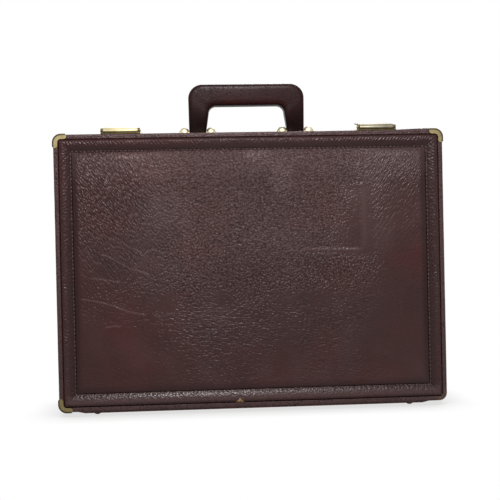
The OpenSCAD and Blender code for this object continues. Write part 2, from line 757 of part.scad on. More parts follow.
module stay_studs(pivot, plane_x) color("#8f7440")
    for (side = [-1, 1]) translate([side * stay_wall_x, seam_y + pivot[0], hinge_z + pivot[1]])
        rotate([0, -90 * side, 0]) stay_stud(plane_x);

// Lid organiser, drawn on the lid lining with z = 0 on the suede

organiser_z = leather_t + panel_t + lining_t;
pocket_bottom = -case_h / 2 + wall_t + lining_t + 12;
pocket_mid = pocket_bottom + pocket_h / 2;
card_x = pocket_w / 4;
card_y = pocket_bottom + pocket_h * 0.55;
loop_pitch = pen_d + loop_gap;

module on_lid_lining() on_lid() translate([0, 0, organiser_z]) children();

module document_pocket() color("#6b4434") on_lid_lining() {
    difference() {
        translate([0, pocket_mid, 0]) linear_extrude(pocket_room + pocket_t)
            round_rect(pocket_w, pocket_h, 8);
        translate([0, pocket_mid + pocket_t, -1]) linear_extrude(pocket_room + 1)
            round_rect(pocket_w - 2 * pocket_t, pocket_h, 8 - pocket_t);
        translate([-pocket_w / 2 - 1, pocket_mid + pocket_h / 2 - 8, -1])
            cube([pocket_w + 2, 9, pocket_room + 1]);
        translate([0, pocket_mid + pocket_h / 2 + notch_r - notch_h, -1])
            cylinder(r = notch_r, h = pocket_room + pocket_t + 2);
    }
}

module card_pocket() color("#5a3529") on_lid_lining()
    translate([card_x, card_y, pocket_room + pocket_t]) difference() {
        linear_extrude(4) round_rect(card_w, card_h, 5);
        translate([0, 1.4, -1]) linear_extrude(3.8) round_rect(card_w - 2.8, card_h + 2.8, 4);
        translate([0, card_h / 2 + 6, -1]) cylinder(r = 16, h = 6);
    }

module pen_arch(r, foot = 0) intersection() {
    union() {
        translate([0, pen_d / 2]) circle(r);
        translate([-r, foot]) square([2 * r, pen_d / 2 - foot]);
    }
    translate([-r, foot]) square([2 * r, pen_d / 2 + r - foot]);
}

module pen_loops() color("#5a3529") on_lid_lining()
    translate([-pocket_w / 4, card_y, pocket_room + pocket_t])
        for (i = [0:pen_loops_n - 1]) {
            translate([(i - (pen_loops_n - 1) / 2) * loop_pitch, 0, 0]) rotate([90, 0, 0])
                linear_extrude(loop_len, center = true) difference() {
                    union() {
                        pen_arch(pen_d / 2 + loop_t);
                        translate([-loop_pitch / 2 + 0.4, 0]) square([loop_pitch - 0.8, loop_t]);
                    }
                    pen_arch(pen_d / 2, foot = -1);
                }
        }

// Base

module base_frame() on_base() wall_ring(base_d);
module base_leather() on_base() leather_skin(base_d);
module rear_panel() on_base() face_panel();
module rear_border() on_base() face_border();
module rear_pad() on_base() face_pad();
module base_lining() on_base() lining(base_d);

module base_rim() color("#b9a77c") on_base() sweep_frame(case_w, case_h, corner_r) {
    inner_r = corner_r - wall_t;
    rim_section(base_d, base_leg_t, base_d);
    section(inner_r - base_leg_t, inner_r - tongue_gap, base_d - rim_t, base_d + tongue_h);
}

module base_corner_caps() color("#a8843f") on_base()
    for (x = [-1, 1], y = [-1, 1]) corner_cap(x, y);

module base_cap_nails() color("#8f7440") on_base()
    for (x = [-1, 1], y = [-1, 1]) cap_nails(x, y);

module base_wear_strip()
    translate([0, face_y - 2 - base_strip_w / 2, bottom_z]) wear_strip(base_strip_w);

module base_feet()
    for (x = [-1, 1]) translate([x * foot_x, face_y - foot_in, foot_h]) foot();

module base_hinge_leaf() translate([0, seam_y, hinge_z]) hinge_leaf(1);
module base_hinge_screws() translate([0, seam_y, bottom_z - leaf_t]) hinge_screws(1);

module hinge_pin() color("#8f7440") translate([0, seam_y, hinge_z]) rotate([0, 90, 0])
    cylinder(d = hinge_pin_d, h = hinge_l, center = true);

module lock_screws() color("#c4a35a")
    for (side = [-1, 1], s = [-1, 1])
        translate([side * latch_x + s * (latch_w / 2 - 5), lock_front + lock_l + 3, top_z + lock_flange_t])
            rotate([0, 0, 20 * s]) screw_head(3.6, 0.7);

module base_stay_studs() stay_studs(base_pivot, stay_arm_x);

// Lid

module lid_frame() on_lid() wall_ring(lid_d);
module lid_leather() on_lid() leather_skin(lid_d);
module front_panel() on_lid() face_panel();
module front_border() on_lid() face_border();
module front_pad() on_lid() face_pad();
module lid_lining() on_lid() lining(lid_d);

module lid_rim() color("#b9a77c") on_lid() sweep_frame(case_w, case_h, corner_r) {
    inner_r = corner_r - wall_t;
    section(inner_r, corner_r, lid_d - rim_t, lid_d);
    section(corner_r - leather_t, corner_r, lid_d - rim_lip, lid_d);
    section(inner_r - lid_leg_t, inner_r, lid_d - rim_leg, lid_d - tongue_h - 1);
}

// The lower right cap of the lid is lost
lid_caps = [[-1, 1], [1, 1], [-1, -1]];

module lid_corner_caps() color("#a8843f") on_lid()
    for (c = lid_caps) corner_cap(c[0], c[1]);

module lid_cap_nails() color("#8f7440") on_lid()
    for (c = lid_caps) cap_nails(c[0], c[1]);

module lid_wear_strip()
    translate([0, -face_y + 2 + lid_strip_w / 2, bottom_z]) wear_strip(lid_strip_w);

module lid_feet()
    for (x = [-1, 1]) translate([x * foot_x, -face_y + foot_in, foot_h]) foot();

module lid_hinge_leaf() translate([0, seam_y, hinge_z]) hinge_leaf(-1);
module lid_hinge_screws() translate([0, seam_y, bottom_z - leaf_t]) hinge_screws(-1);

module hasp_rivets() color("#c4a35a")
    for (side = [-1, 1], s = [-1, 1])
        translate([side * latch_x + s * (latch_w / 2 - 8), seam_y - 7, top_z + hasp_base_t]) head();

module lid_stay_studs() stay_studs(lid_pivot, stay_link_x);

// One line for each node

base_frame();
base_leather();
rear_panel();
rear_border();
rear_pad();
base_rim();
base_lining();
base_corner_caps();
base_cap_nails();
base_wear_strip();
base_feet();
base_hinge_leaf();
base_hinge_screws();
hinge_pin();
handle_bracket(-1);  // left_handle_bracket
handle_bracket(1);  // right_handle_bracket
handle_pin(-1);  // left_handle_pin
handle_pin(1);  // right_handle_pin
bracket_screws();
at_latch(-1) lock_case();  // left_lock_case
at_latch(1) lock_case();  // right_lock_case
lock_screws();
base_stay_studs();
lid_frame();
lid_leather();
front_panel();
front_border();
front_pad();
lid_rim();
lid_lining();
lid_corner_caps();
lid_cap_nails();
lid_wear_strip();
lid_feet();
lid_hinge_leaf();
lid_hinge_screws();
at_latch(-1) hasp_base();  // left_hasp_base
at_latch(1) hasp_base();  // right_hasp_base
at_latch(-1) hasp_pin();  // left_hasp_pin
at_latch(1) hasp_pin();  // right_hasp_pin
hasp_rivets();
lid_stay_studs();
document_pocket();
card_pocket();
pen_loops();
handle_grip();
handle_eye_tubes();
at_latch(-1) hasp(0);  // left_hasp
at_latch(1) hasp(right_hasp_lift);  // right_hasp
at_latch(-1) latch_button();  // left_latch_button
at_latch(1) latch_button();  // right_latch_button
at_latch(-1) key_plug();  // left_key_plug
at_latch(1) key_plug();  // right_key_plug
stay_arm(-1);  // left_stay_arm
stay_arm(1);  // right_stay_arm
stay_link(-1);  // left_stay_link
stay_link(1);  // right_stay_link
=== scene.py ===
# %% [markdown]
# # A leather case around its CAD frame
# The case is two wooden halves covered in leather, hinged along the edge that it stands on. The CAD model
# holds every piece at its true size. This script gives each piece its surface: padded and stitched leather
# outside, suede inside, aged brass fittings. Nothing is moved, so every number below is a place in the CAD.

# %% Load the frame
import json
import math

import bmesh
import bpy
import numpy as np
from mathutils import Matrix, Vector


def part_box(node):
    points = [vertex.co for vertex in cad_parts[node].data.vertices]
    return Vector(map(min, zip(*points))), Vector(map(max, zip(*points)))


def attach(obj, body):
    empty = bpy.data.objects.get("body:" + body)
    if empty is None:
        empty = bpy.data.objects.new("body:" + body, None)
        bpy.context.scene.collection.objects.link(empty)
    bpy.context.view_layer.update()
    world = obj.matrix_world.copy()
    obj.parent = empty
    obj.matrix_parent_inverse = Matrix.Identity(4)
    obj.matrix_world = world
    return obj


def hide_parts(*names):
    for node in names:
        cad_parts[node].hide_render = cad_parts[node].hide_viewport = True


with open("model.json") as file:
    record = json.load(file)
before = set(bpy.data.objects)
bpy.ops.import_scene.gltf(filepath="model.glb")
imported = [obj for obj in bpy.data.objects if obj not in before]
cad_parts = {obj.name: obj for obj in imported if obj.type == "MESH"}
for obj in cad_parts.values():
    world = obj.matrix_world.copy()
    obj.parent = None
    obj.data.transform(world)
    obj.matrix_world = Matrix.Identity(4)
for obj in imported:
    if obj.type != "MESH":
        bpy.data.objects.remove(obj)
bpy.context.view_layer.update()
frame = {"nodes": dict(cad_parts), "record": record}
nodes = frame["nodes"]
body_of_node = {n: b for b, members in frame["record"]["behaviour"]["bodies"].items() for n in members}

# %% [markdown]
# ## Camera
# The four edges of the face and the place of the handle behind it give the camera's place, turn and tilt. The
# matrix is written from its three axes, which is easier to check than a chain of rotations.

# %% Camera
PICTURE_PX = 500
FOCAL_PX = 835.8
SENSOR_MM = 36.0
CAMERA_AT = Vector((-0.0546, -1.0, 0.1927))


def aim(yaw, pitch, roll):
    """Rotation of a camera that looks along +Y, turned right by yaw, up by pitch and rolled."""
    ahead = Vector((math.sin(yaw) * math.cos(pitch), math.cos(yaw) * math.cos(pitch), math.sin(pitch)))
    level = Vector((math.cos(yaw), -math.sin(yaw), 0.0))
    upright = level.cross(ahead)
    right = math.cos(roll) * level + math.sin(roll) * upright
    top = math.cos(roll) * upright - math.sin(roll) * level
    return Matrix((right, top, -ahead)).transposed()


camera = bpy.data.objects.new("camera", bpy.data.cameras.new("camera"))
camera.data.sensor_width = SENSOR_MM
camera.data.lens = SENSOR_MM * FOCAL_PX / PICTURE_PX
camera.matrix_world = Matrix.Translation(CAMERA_AT) @ aim(
    math.radians(3.12), math.radians(-0.516), math.radians(-1.25)).to_4x4()
bpy.context.scene.collection.objects.link(camera)
bpy.context.scene.camera = camera
print("camera: lens", round(camera.data.lens, 1), "mm")

# %% [markdown]
# ## Building materials from nodes
# A material is a small graph. A few short steps add nodes, set their options and fill their inputs, whether
# these are numbers or links, so that each recipe below reads as a list of steps. The Geometry Nodes further
# on are built with the same steps.


# %% Node helpers
NODE_KINDS = ("ShaderNode", "GeometryNode", "FunctionNode")


class Graph:
    """Short steps for building one node tree."""

    def __init__(self, tree):
        self.tree = tree

    def fill(self, node, inputs):
        """Links each socket given as an input, and sets any other value."""
        for key, value in dict(inputs).items():
            if isinstance(value, bpy.types.NodeSocket):
                self.tree.links.new(value, node.inputs[key])
            else:
                node.inputs[key].default_value = value
        return node

    def node(self, kind, inputs=(), **options):
        """Adds a node, sets its options and fills its inputs."""
        node = self.tree.nodes.new(next(k + kind for k in NODE_KINDS if hasattr(bpy.types, k + kind)))
        for key, value in options.items():
            setattr(node, key, value)
        return self.fill(node, inputs)

    def add(self, kind, inputs=(), **options):
        """The first output of a new node."""
        return self.node(kind, inputs, **options).outputs[0]

    def mixed(self, share, low, high):
        """A colour between low and high."""
        return self.node("Mix", {0: share, 6: low, 7: high}, data_type="RGBA").outputs[2]

    def ramp(self, value, start, end, low=0.0, high=1.0, way="SMOOTHSTEP"):
        """Spreads a value between start and end over low and high."""
        sockets = {"Value": value, "From Min": start, "From Max": end, "To Min": low, "To Max": high}
        return self.add("MapRange", sockets, interpolation_type=way)

    def maths(self, operation, a, b=0.0):
        """One sum on two values."""
        return self.add("Math", {0: a, 1: b}, operation=operation)

    def times(self, a, b):
        """The product of two values."""
        return self.maths("MULTIPLY", a, b)

    def noise(self, where, scale, detail):
        """Cloudy noise, with scale in waves for each unit."""
        return self.add("TexNoise", {"Vector": where, "Scale": scale, "Detail": detail})

    def stored(self, label):
        """A number kept on the mesh."""
        return self.node("Attribute", attribute_name=label).outputs["Fac"]


print("kinds of node:", NODE_KINDS)


# %% Groups, materials and colours
def new_group(name, inputs, outputs, kind="ShaderNodeTree"):
    """An empty node group. Its sockets are given as a kind and the names of that kind."""
    group = bpy.data.node_groups.new(name, kind)
    for way, sockets in (("INPUT", inputs), ("OUTPUT", outputs)):
        for socket, labels in sockets.items():
            for label in labels.split():
                group.interface.new_socket(name=label, in_out=way, socket_type="NodeSocket" + socket)
    return Graph(group), group.nodes.new("NodeGroupInput").outputs, group.nodes.new("NodeGroupOutput")


def new_material(name):
    """A material with its graph, its surface shader and the place on the object."""
    material = bpy.data.materials.new(name)
    material.use_nodes = True
    graph = Graph(material.node_tree)
    return material, graph, graph.tree.nodes["Principled BSDF"], graph.node("TexCoord").outputs["Object"]


def shade(rgb):
    """An sRGB colour from 0 to 255 as the linear colour that a socket takes."""
    return (*[c / 255 / 12.92 if c <= 10 else ((c / 255 + 0.055) / 1.055) ** 2.4 for c in rgb], 1.0)


print("node helpers ready")

# %% [markdown]
# ## Leather grain
# Grained leather is a field of small cushions with creases between them. Voronoi cells make that field: the
# distance to the nearest cell point is low in the middle of a cushion and high in a crease. The cells are
# pulled about by slow noise first, because real grain is never even, and a second, finer net lies on top.
# The group takes a place counted in cells, so each leather chooses its own size and direction of grain.

# %% Leather grain group
graph, given, result = new_group("leather_grain", {"Vector": "Cells"}, {"Float": "Cushion Height Fine"})
grain_group = graph.tree
pull = graph.node("TexNoise", {"Vector": given["Cells"], "Scale": 0.4, "Detail": 3.0}).outputs["Color"]
pull = graph.add("VectorMath", {0: pull, 1: (0.5, 0.5, 0.5)}, operation="SUBTRACT")
pull = graph.add("VectorMath", {0: pull, "Scale": 1.4}, operation="SCALE")
cells = graph.add("VectorMath", {0: given["Cells"], 1: pull}, operation="ADD")
cushion, small = [graph.maths("SUBTRACT", 1.0, graph.times(graph.maths("POWER", graph.add(
    "TexVoronoi", {"Vector": cells, "Scale": scale}), 2.0), 1.5)) for scale in (1.0, 2.4)]
fine = graph.noise(cells, 4.0, 5.0)
height = graph.times(cushion, 0.8)
for part, share in ((small, 0.14), (fine, 0.08)):
    height = graph.maths("ADD", height, graph.times(part, share))
graph.fill(result, {"Cushion": cushion, "Height": height, "Fine": fine})
print("leather grain:", len(grain_group.nodes), "nodes")

# %% [markdown]
# ## Leather colour
# The hide is dyed a dark brown over red, and lets red, grey and dark clouds a few centimetres wide show
# through. The creases are darkened as painted shade, and the cushions grey a little, partly as rubbed dye and
# partly as painted highlight. The group mixes these colours, adds the marks kept on the mesh, such as
# scratches and scuffs down to bare tan leather, painted shade and a painted sheen, and gives the roughness,
# because rubbed cushions shine more than creases.

# %% Leather colour group
# Waves and detail of each kind of cloud, where it starts and where it is full, and the input that limits it.
CLOUDS = (((10.0, 3.0), (0.45, 0.75), "Redness"), ((17.0, 4.0), (0.46, 0.64), "Greyed"),
          ((23.0, 4.0), (0.5, 0.34), "Greyed"))
graph, given, result = new_group(
    "leather_colour",
    {"Vector": "Vector", "Color": "Crease Body Red Rubbed Bare Worn",
     "Float": "Cushion Fine Redness Rough Greyed Ruddy Fold Scratch Scuff"},
    {"Color": "Color", "Float": "Roughness"})
hide_group = graph.tree
clouds = [graph.times(graph.ramp(graph.noise(given["Vector"], *waves), *edges), given[share])
          for waves, edges, share in CLOUDS]
# Partly rubbed dye and partly painted highlight: the cushion tops turn greyer.
rubbed_tops_and_highlight = graph.times(graph.ramp(given["Cushion"], 0.6, 1.0), given["Greyed"])
# Painted shade: the creases are darkened towards the crease colour.
painted_crease_shade = graph.ramp(given["Cushion"], 0.0, 0.6, 0.7, 0.0)
hide = given["Body"]
# Besides the clouds and the grain, the marks kept on the mesh mix in red places, painted shade, real
# scratches with a painted sheen, and real scuffs down to bare leather.
for share, tint in (
        (clouds[0], "Red"), (given["Ruddy"], "Red"), (clouds[1], "Rubbed"), (clouds[2], "Crease"),
        (painted_crease_shade, "Crease"), (rubbed_tops_and_highlight, "Rubbed"), (given["Fold"], "Crease"), (given["Scratch"], "Worn"),
        (given["Scuff"], "Bare")):
    hide = graph.mixed(share, hide, given[tint])
rough = graph.maths("ADD", given["Rough"], graph.times(given["Scuff"], 0.3))
for value, start, end, low, high in (
        (given["Cushion"], 0.1, 0.8, 0.14, -0.03), (given["Fine"], 0.3, 0.7, -0.02, 0.03),
        (graph.noise(given["Vector"], 13.0, 3.0), 0.3, 0.7, -0.03, 0.06)):
    rough = graph.maths("ADD", rough, graph.ramp(value, start, end, low, high))
graph.fill(result, {"Color": hide, "Roughness": rough})
print("leather colour:", len(hide_group.nodes), "nodes")

# %% [markdown]
# ## Leather materials
# Each leather piece takes the two groups with its own cell size, depth and colours. The padded faces use the
# grain four times: round in the middle, drawn out into slanting wrinkles towards the upper corners, where the
# hide was pulled over the frame, and almost level below. Numbers kept on the mesh say where each kind rules.

# %% Leather materials
# Each kind of wrinkle: its label on the mesh, its slope in degrees and its height beside the round grain.
WRINKLES = (("lean_left", 60, 0.65), ("lean_right", -58, 0.65), ("level", 9, 0.7))
DRAWN = (2.0, 0.7, 0.7)
# The bare tan of scuffs, and the pale colour of scratches and of the painted sheen.
BARE, WORN_AND_SHEEN = (150, 118, 78), (104, 84, 84)


def grain_at(graph, where, cell, angle=0.0):
    """The grain with cells of a size in metres along X, Y and Z, turned about Y."""
    sizes = {"Vector": where, "Rotation": (0.0, angle, 0.0), "Scale": cell}
    counted = graph.add("Mapping", sizes, vector_type="TEXTURE")
    return graph.node("Group", {"Cells": counted}, node_tree=grain_group).outputs


def leather(name, colours, cell, depth, rough, redness=0.5, greyed=0.3,
            marked=False, wrinkled=False, ior=1.33):
    """A leather of body, crease, red and rubbed colours. A cushion is cell wide and depth high, in metres."""
    material, graph, surface, where = new_material(name)
    cushion, height, fine = grain_at(graph, where, (cell, cell, cell))
    if wrinkled:
        for label, angle, lift in WRINKLES:
            drawn = grain_at(graph, where, [k * cell for k in DRAWN], math.radians(angle))
            share = graph.stored(label)
            lifted = graph.times(drawn["Height"], lift)
            cushion = graph.add("Mix", {0: share, 2: cushion, 3: drawn["Cushion"]})
            height = graph.add("Mix", {0: share, 2: height, 3: lifted})
        strength = graph.stored("strength")
        cushion = graph.add("Mix", {0: strength, 2: 0.75, 3: cushion})
        height = graph.times(height, strength)
    # The marks kept on the mesh: red places, painted shade, scratches with a painted sheen, and scuffs.
    marks = {label: graph.stored(label.lower()) for label in ("Ruddy", "Fold", "Scratch", "Scuff") if marked}
    body, crease, red, rubbed, bare, worn_and_sheen = map(shade, (*colours, BARE, WORN_AND_SHEEN))
    colour, roughness = graph.node("Group", {
        "Vector": where, "Cushion": cushion, "Fine": fine, "Body": body, "Crease": crease, "Red": red,
        "Rubbed": rubbed, "Bare": bare, "Worn": worn_and_sheen, "Redness": redness, "Rough": rough, "Greyed": greyed,
        **marks}, node_tree=hide_group).outputs
    bump = graph.add("Bump", {"Height": height, "Strength": 1.0, "Distance": depth})
    graph.fill(surface, {"Base Color": colour, "Roughness": roughness, "Normal": bump, "IOR": ior,
                         "Specular Tint": (1.0, 0.9, 0.9, 1.0)})
    return material


print("kinds of wrinkle:", [label for label, slope, lift in WRINKLES])

# %% Leathers of the case
HIDE = ((45, 25, 24), (31, 13, 12), (59, 21, 20), (60, 42, 42))
WALL_HIDE = ((62, 43, 43), (31, 15, 14), (60, 32, 32), (66, 48, 48))
GRIP_HIDE = ((35, 15, 15), (13, 5, 5), (54, 12, 13), (42, 23, 23))
STRIP_HIDE = ((58, 34, 32), (30, 17, 16), (72, 30, 28), (96, 72, 66))
POCKET_HIDE = ((104, 66, 48), (66, 38, 27), (118, 62, 46), (140, 104, 82))
padded_leather = leather("padded_leather", HIDE, 0.0025, 0.00112, 0.28, 0.65, 0.35,
                         marked=True, wrinkled=True)
border_leather = leather("border_leather", HIDE, 0.0028, 0.0003, 0.25, 0.4, 0.1, marked=True)
wall_leather = leather("wall_leather", WALL_HIDE, 0.0022, 0.00042, 0.32, 0.3, 0.3, marked=True)
grip_leather = leather("grip_leather", GRIP_HIDE, 0.0024, 0.00006, 0.29, 0.6, 0.1, marked=True, ior=1.18)
strip_leather = leather("strip_leather", STRIP_HIDE, 0.003, 0.0001, 0.48)
pocket_leather = leather("pocket_leather", POCKET_HIDE, 0.0016, 0.00008, 0.5)
print("leathers:", [m.name for m in bpy.data.materials if "leather" in m.name])

# %% [markdown]
# ## Aged brass
# Brass that is handled stays bright on its edges and turns olive-brown where dirt is left. Two nodes find
# those places without painting them: ambient occlusion is dark in corners, and a bevel normal differs from
# the true normal at an edge. The walls of a piece tarnish more than its face, which hands and cloth rub, so
# the colour also darkens where the surface turns away from the front and the back: partly tarnish, and partly
# a painted dark reflection that outlines each piece seen from the front. The corner caps have a dark rim
# besides, at a distance from the middle of each rounded corner.

# %% Brass group
graph, given, result = new_group(
    "aged_brass", {"Vector": "Vector", "Color": "Bright Dull Dirt Edge", "Float": "Age Rough Sides Grime"},
    {"Color": "Color", "Float": "Roughness Height"})
brass_group = graph.tree
patches, spots, smears, dents = [graph.noise(given["Vector"], scale, detail) for scale, detail in (
    (90.0, 4.0), (420.0, 3.0), (120.0, 3.0), (260.0, 3.0))]
dulled = graph.times(graph.ramp(patches, 0.35, 0.65), given["Age"])
spotted = graph.times(graph.ramp(spots, 0.62, 0.76), graph.times(given["Age"], 0.35))
corner = graph.node("AmbientOcclusion", {"Distance": 0.0022}, samples=6).outputs["AO"]
filled = graph.times(graph.ramp(corner, 0.2, 0.75, 1.0, 0.0), given["Age"])
rounded = graph.add("Bevel", {"Radius": 0.0006}, samples=4)
facing = graph.node("NewGeometry").outputs["Normal"]
edge = graph.node("VectorMath", {0: rounded, 1: facing}, operation="DOT_PRODUCT").outputs["Value"]
rubbed = graph.ramp(edge, 0.99, 0.85, 0.0, 0.7)
# Partly tarnish and partly painted shade: darker where the surface turns away from the front and the back,
# which outlines each piece in dark.
frontal = graph.maths("ABSOLUTE", graph.node("SeparateXYZ", {0: facing}).outputs["Y"])
turned_away_tarnish_and_shade = graph.times(graph.ramp(frontal, 0.75, 0.35), given["Sides"])
metal = given["Bright"]
for share, tint in ((dulled, "Dull"), (spotted, "Dirt"), (filled, "Dirt"), (rubbed, "Edge"),
                    (turned_away_tarnish_and_shade, "Dirt"), (given["Grime"], "Dirt")):
    metal = graph.mixed(share, metal, given[tint])
gloss = graph.maths("ADD", given["Rough"], graph.ramp(smears, 0.3, 0.7, -0.06, 0.1))
graph.fill(result, {"Color": metal, "Roughness": gloss, "Height": dents})
print("aged brass:", len(brass_group.nodes), "nodes")

# %% Brass materials
CAP_R = 0.0104


def round_corners(graph, where, corner_x, corner_z, mid_z):
    """Distance beyond the middle of the nearest rounded corner, seen from the front."""
    for operation, other in (("SUBTRACT", (0.0, 0.0, mid_z)), ("ABSOLUTE", (0.0, 0.0, 0.0)),
                             ("SUBTRACT", (corner_x, 10.0, corner_z)), ("MAXIMUM", (0.0, 0.0, 0.0))):
        where = graph.add("VectorMath", {0: where, 1: other}, operation=operation)
    return graph.node("VectorMath", {0: where}, operation="LENGTH").outputs["Value"]


def brass(name, bright, dull, dirt, age, rough, sides=0.0, edge=None, rim=None):
    """A brass or plated metal from the shared group. rim is the middle of the rounded corners whose outer rim
    is darkened.
    """
    material, graph, surface, where = new_material(name)
    dark_rim = 0.0
    if rim:
        dark_rim = graph.ramp(round_corners(graph, where, *rim), CAP_R - 0.0028, CAP_R - 0.0009, 0.0, 0.95)
    bright, dull, dirt, edge = map(shade, (bright, dull, dirt, edge or bright))
    colour, roughness, dents = graph.node("Group", {
        "Vector": where, "Bright": bright, "Dull": dull, "Dirt": dirt, "Edge": edge,
        "Age": age, "Rough": rough, "Sides": sides, "Grime": dark_rim}, node_tree=brass_group).outputs
    bump = graph.add("Bump", {"Height": dents, "Strength": 0.5, "Distance": 0.00002})
    graph.fill(surface, {"Base Color": colour, "Roughness": roughness, "Normal": bump, "Metallic": 1.0})
    return material


cap_low, cap_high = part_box("lid_corner_caps")
cap_mid = (cap_low.z + cap_high.z) / 2
CAP_RIM = (cap_high.x - CAP_R, cap_high.z - cap_mid - CAP_R, cap_mid)
print("corner caps turn about", [round(c, 4) for c in CAP_RIM])

# %% Metals of the case
aged_brass = brass("aged_brass", (188, 177, 142), (156, 144, 104), (58, 50, 30), 0.6, 0.47, 0.4,
                   edge=(186, 174, 136))
grey_brass = brass("grey_brass", (140, 134, 116), (120, 113, 93), (58, 52, 36), 0.7, 0.5, 0.4)
lug_brass = brass("lug_brass", (224, 212, 182), (200, 186, 144), (54, 48, 28), 0.4, 0.45, 0.8)
cap_brass = brass("cap_brass", (142, 129, 95), (108, 95, 60), (44, 38, 20), 0.7, 0.45, 0.35, rim=CAP_RIM)
worn_brass = brass("worn_brass", (214, 200, 158), (182, 166, 114), (66, 56, 32), 0.5, 0.3)
dark_brass = brass("dark_brass", (82, 72, 46), (62, 54, 34), (26, 22, 12), 0.8, 0.42)
pin_brass = brass("pin_brass", (224, 212, 184), (204, 188, 148), (50, 44, 26), 0.3, 0.5, 0.4)
hinge_brass = brass("hinge_brass", (186, 168, 118), (158, 138, 90), (62, 50, 30), 0.7, 0.38)
rim_brass = brass("rim_brass", (204, 190, 148), (172, 156, 112), (66, 56, 36), 0.6, 0.36)
foot_steel = brass("foot_steel", (176, 170, 158), (132, 126, 114), (56, 50, 42), 0.7, 0.4)
print("metals:", [m.name for m in bpy.data.materials if "brass" in m.name or "steel" in m.name])

# %% [markdown]
# ## Suede, wood and thread
# The lining is glued suede: matt, with a nap of very fine noise and slow lighter strokes where a hand has
# brushed it. The wooden walls are hidden, and a light wood with drawn-out rings is enough for an open joint.
# Waxed thread is a matt grey-brown, greyer where it is rubbed.


# %% Suede, wood and thread
def matt(name, low, high, scale, stretch, rough, bump_depth, fine_scale):
    """A matt material of two colours, mottled by noise that may be drawn out along an axis."""
    material, graph, surface, where = new_material(name)
    drawn = graph.add("Mapping", {"Vector": where, "Scale": stretch})
    tone = graph.ramp(graph.noise(drawn, scale, 4.0), 0.3, 0.7)
    nap = graph.noise(where, fine_scale, 3.0)
    colour = graph.mixed(tone, shade(low), shade(high))
    colour = graph.mixed(graph.ramp(nap, 0.35, 0.65, 0.0, 0.35), colour, shade(low))
    bump = graph.add("Bump", {"Height": nap, "Strength": 1.0, "Distance": bump_depth})
    graph.fill(surface, {"Base Color": colour, "Roughness": graph.ramp(tone, 0.0, 1.0, rough, rough - 0.1),
                         "Normal": bump, "IOR": 1.3})
    return material


EVEN = (1.0, 1.0, 1.0)
suede = matt("suede", (126, 92, 62), (152, 116, 80), 26.0, (1.0, 1.0, 0.4), 0.95, 0.00012, 2400.0)
wood = matt("wood", (150, 116, 78), (186, 150, 106), 60.0, (0.15, 1.0, 1.0), 0.7, 0.00005, 900.0)
thread = matt("waxed_thread", (72, 58, 52), (108, 92, 84), 300.0, EVEN, 0.8, 0.00005, 4000.0)
pale_thread = matt("pale_thread", (176, 146, 104), (204, 176, 134), 300.0, EVEN, 0.8, 0.00005, 4000.0)
print("suede, wood and thread ready")

# %% [markdown]
# ## Finishing the CAD nodes
# Every CAD node gets the finish of its record slot, apart from a few fittings whose brass has aged in its
# own way. Pieces with a better mesh replace their node further on, but this makes sure that none stays grey.

# %% Finishes by slot
SPECIAL = {"corner_caps": cap_brass, "handle_pin": pin_brass, "handle_bracket": lug_brass,
           "right_hasp": grey_brass}
FINISH = {
    "brass": aged_brass, "bright_brass": worn_brass, "dark_brass": dark_brass, "hinge_metal": hinge_brass,
    "rim_metal": rim_brass, "foot_metal": foot_steel, "wood": wood, "suede": suede, "leather": wall_leather,
    "handle_leather": grip_leather, "strip_leather": strip_leather, "pocket_leather": pocket_leather}
slot_of = {part["node"]: part["material_slot"] for part in frame["record"]["subparts"]}
for name, node in nodes.items():
    node.data.materials.clear()
    special = next((metal for part, metal in SPECIAL.items() if name.endswith(part)), None)
    node.data.materials.append(special or FINISH[slot_of[name]])
print("finished", len(nodes), "nodes from", len(FINISH), "materials")

# %% [markdown]
# ## Meshes from grids of points
# Most leather here is a surface with two directions, such as along a wall and across it. A grid of points
# and the rule that joins neighbours makes all of it. A grid may close on itself in either direction, which
# gives a ring or a tube.


# %% Mesh helpers
def grid_faces(rows, columns, close_rows=False, close_columns=False):
    """Quads between neighbours of a grid whose points are numbered row by row."""
    r = np.arange(rows if close_rows else rows - 1)[:, None]
    c = np.arange(columns if close_columns else columns - 1)[None, :]
    r1, c1 = (r + 1) % rows, (c + 1) % columns
    quads = [r * columns + c, r1 * columns + c, r1 * columns + c1, r * columns + c1]
    return np.stack([np.broadcast_to(q, (r.size, c.size)) for q in quads], axis=-1).reshape(-1, 4).tolist()


def link(name, mesh):
    """An object that shows a mesh."""
    piece = bpy.data.objects.new(name, mesh)
    bpy.context.scene.collection.objects.link(piece)
    return piece


def make_piece(name, points, faces, material):
    """A mesh object from points in metres. Its faces are turned outwards and shaded smooth."""
    mesh = bpy.data.meshes.new(name)
    mesh.from_pydata(np.asarray(points).tolist(), [], faces)
    work = bmesh.new()
    work.from_mesh(mesh)
    bmesh.ops.recalc_face_normals(work, faces=work.faces)
    work.to_mesh(mesh)
    work.free()
    mesh.materials.append(material)
    mesh.shade_smooth()
    return link(name, mesh)


def keep_values(piece, label, values):
    """Stores one number for each point, which a material reads by its label."""
    layer = piece.data.attributes.new(label, "FLOAT", "POINT")
    layer.data.foreach_set("value", np.asarray(values, np.float32).ravel())


def dress(piece, node):
    """Lets a piece stand for a CAD node, on the node's body."""
    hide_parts(node)
    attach(piece, body_of_node[node])
    print(piece.name, "for", node, "with", len(piece.data.polygons), "faces")
    return piece


def ring_piece(name, points, material):
    """A piece from a grid that closes on itself both ways."""
    return make_piece(name, points.reshape(-1, 3), grid_faces(*points.shape[:2], True, True), material)


print("mesh helpers ready")

# %% [markdown]
# ## Relief by formula
# Creases, dents and puckers are written as heights over the surface. Soft noise joins random values on a
# lattice, and a furrow is a line with soft sides. Fixed seeds give the same hide in every run.


# %% Relief helpers
LATTICE = 128


def step(value, start, end):
    """0 before start, 1 after end, and smooth between."""
    t = np.clip((value - start) / (end - start), 0.0, 1.0)
    return t * t * (3.0 - 2.0 * t)


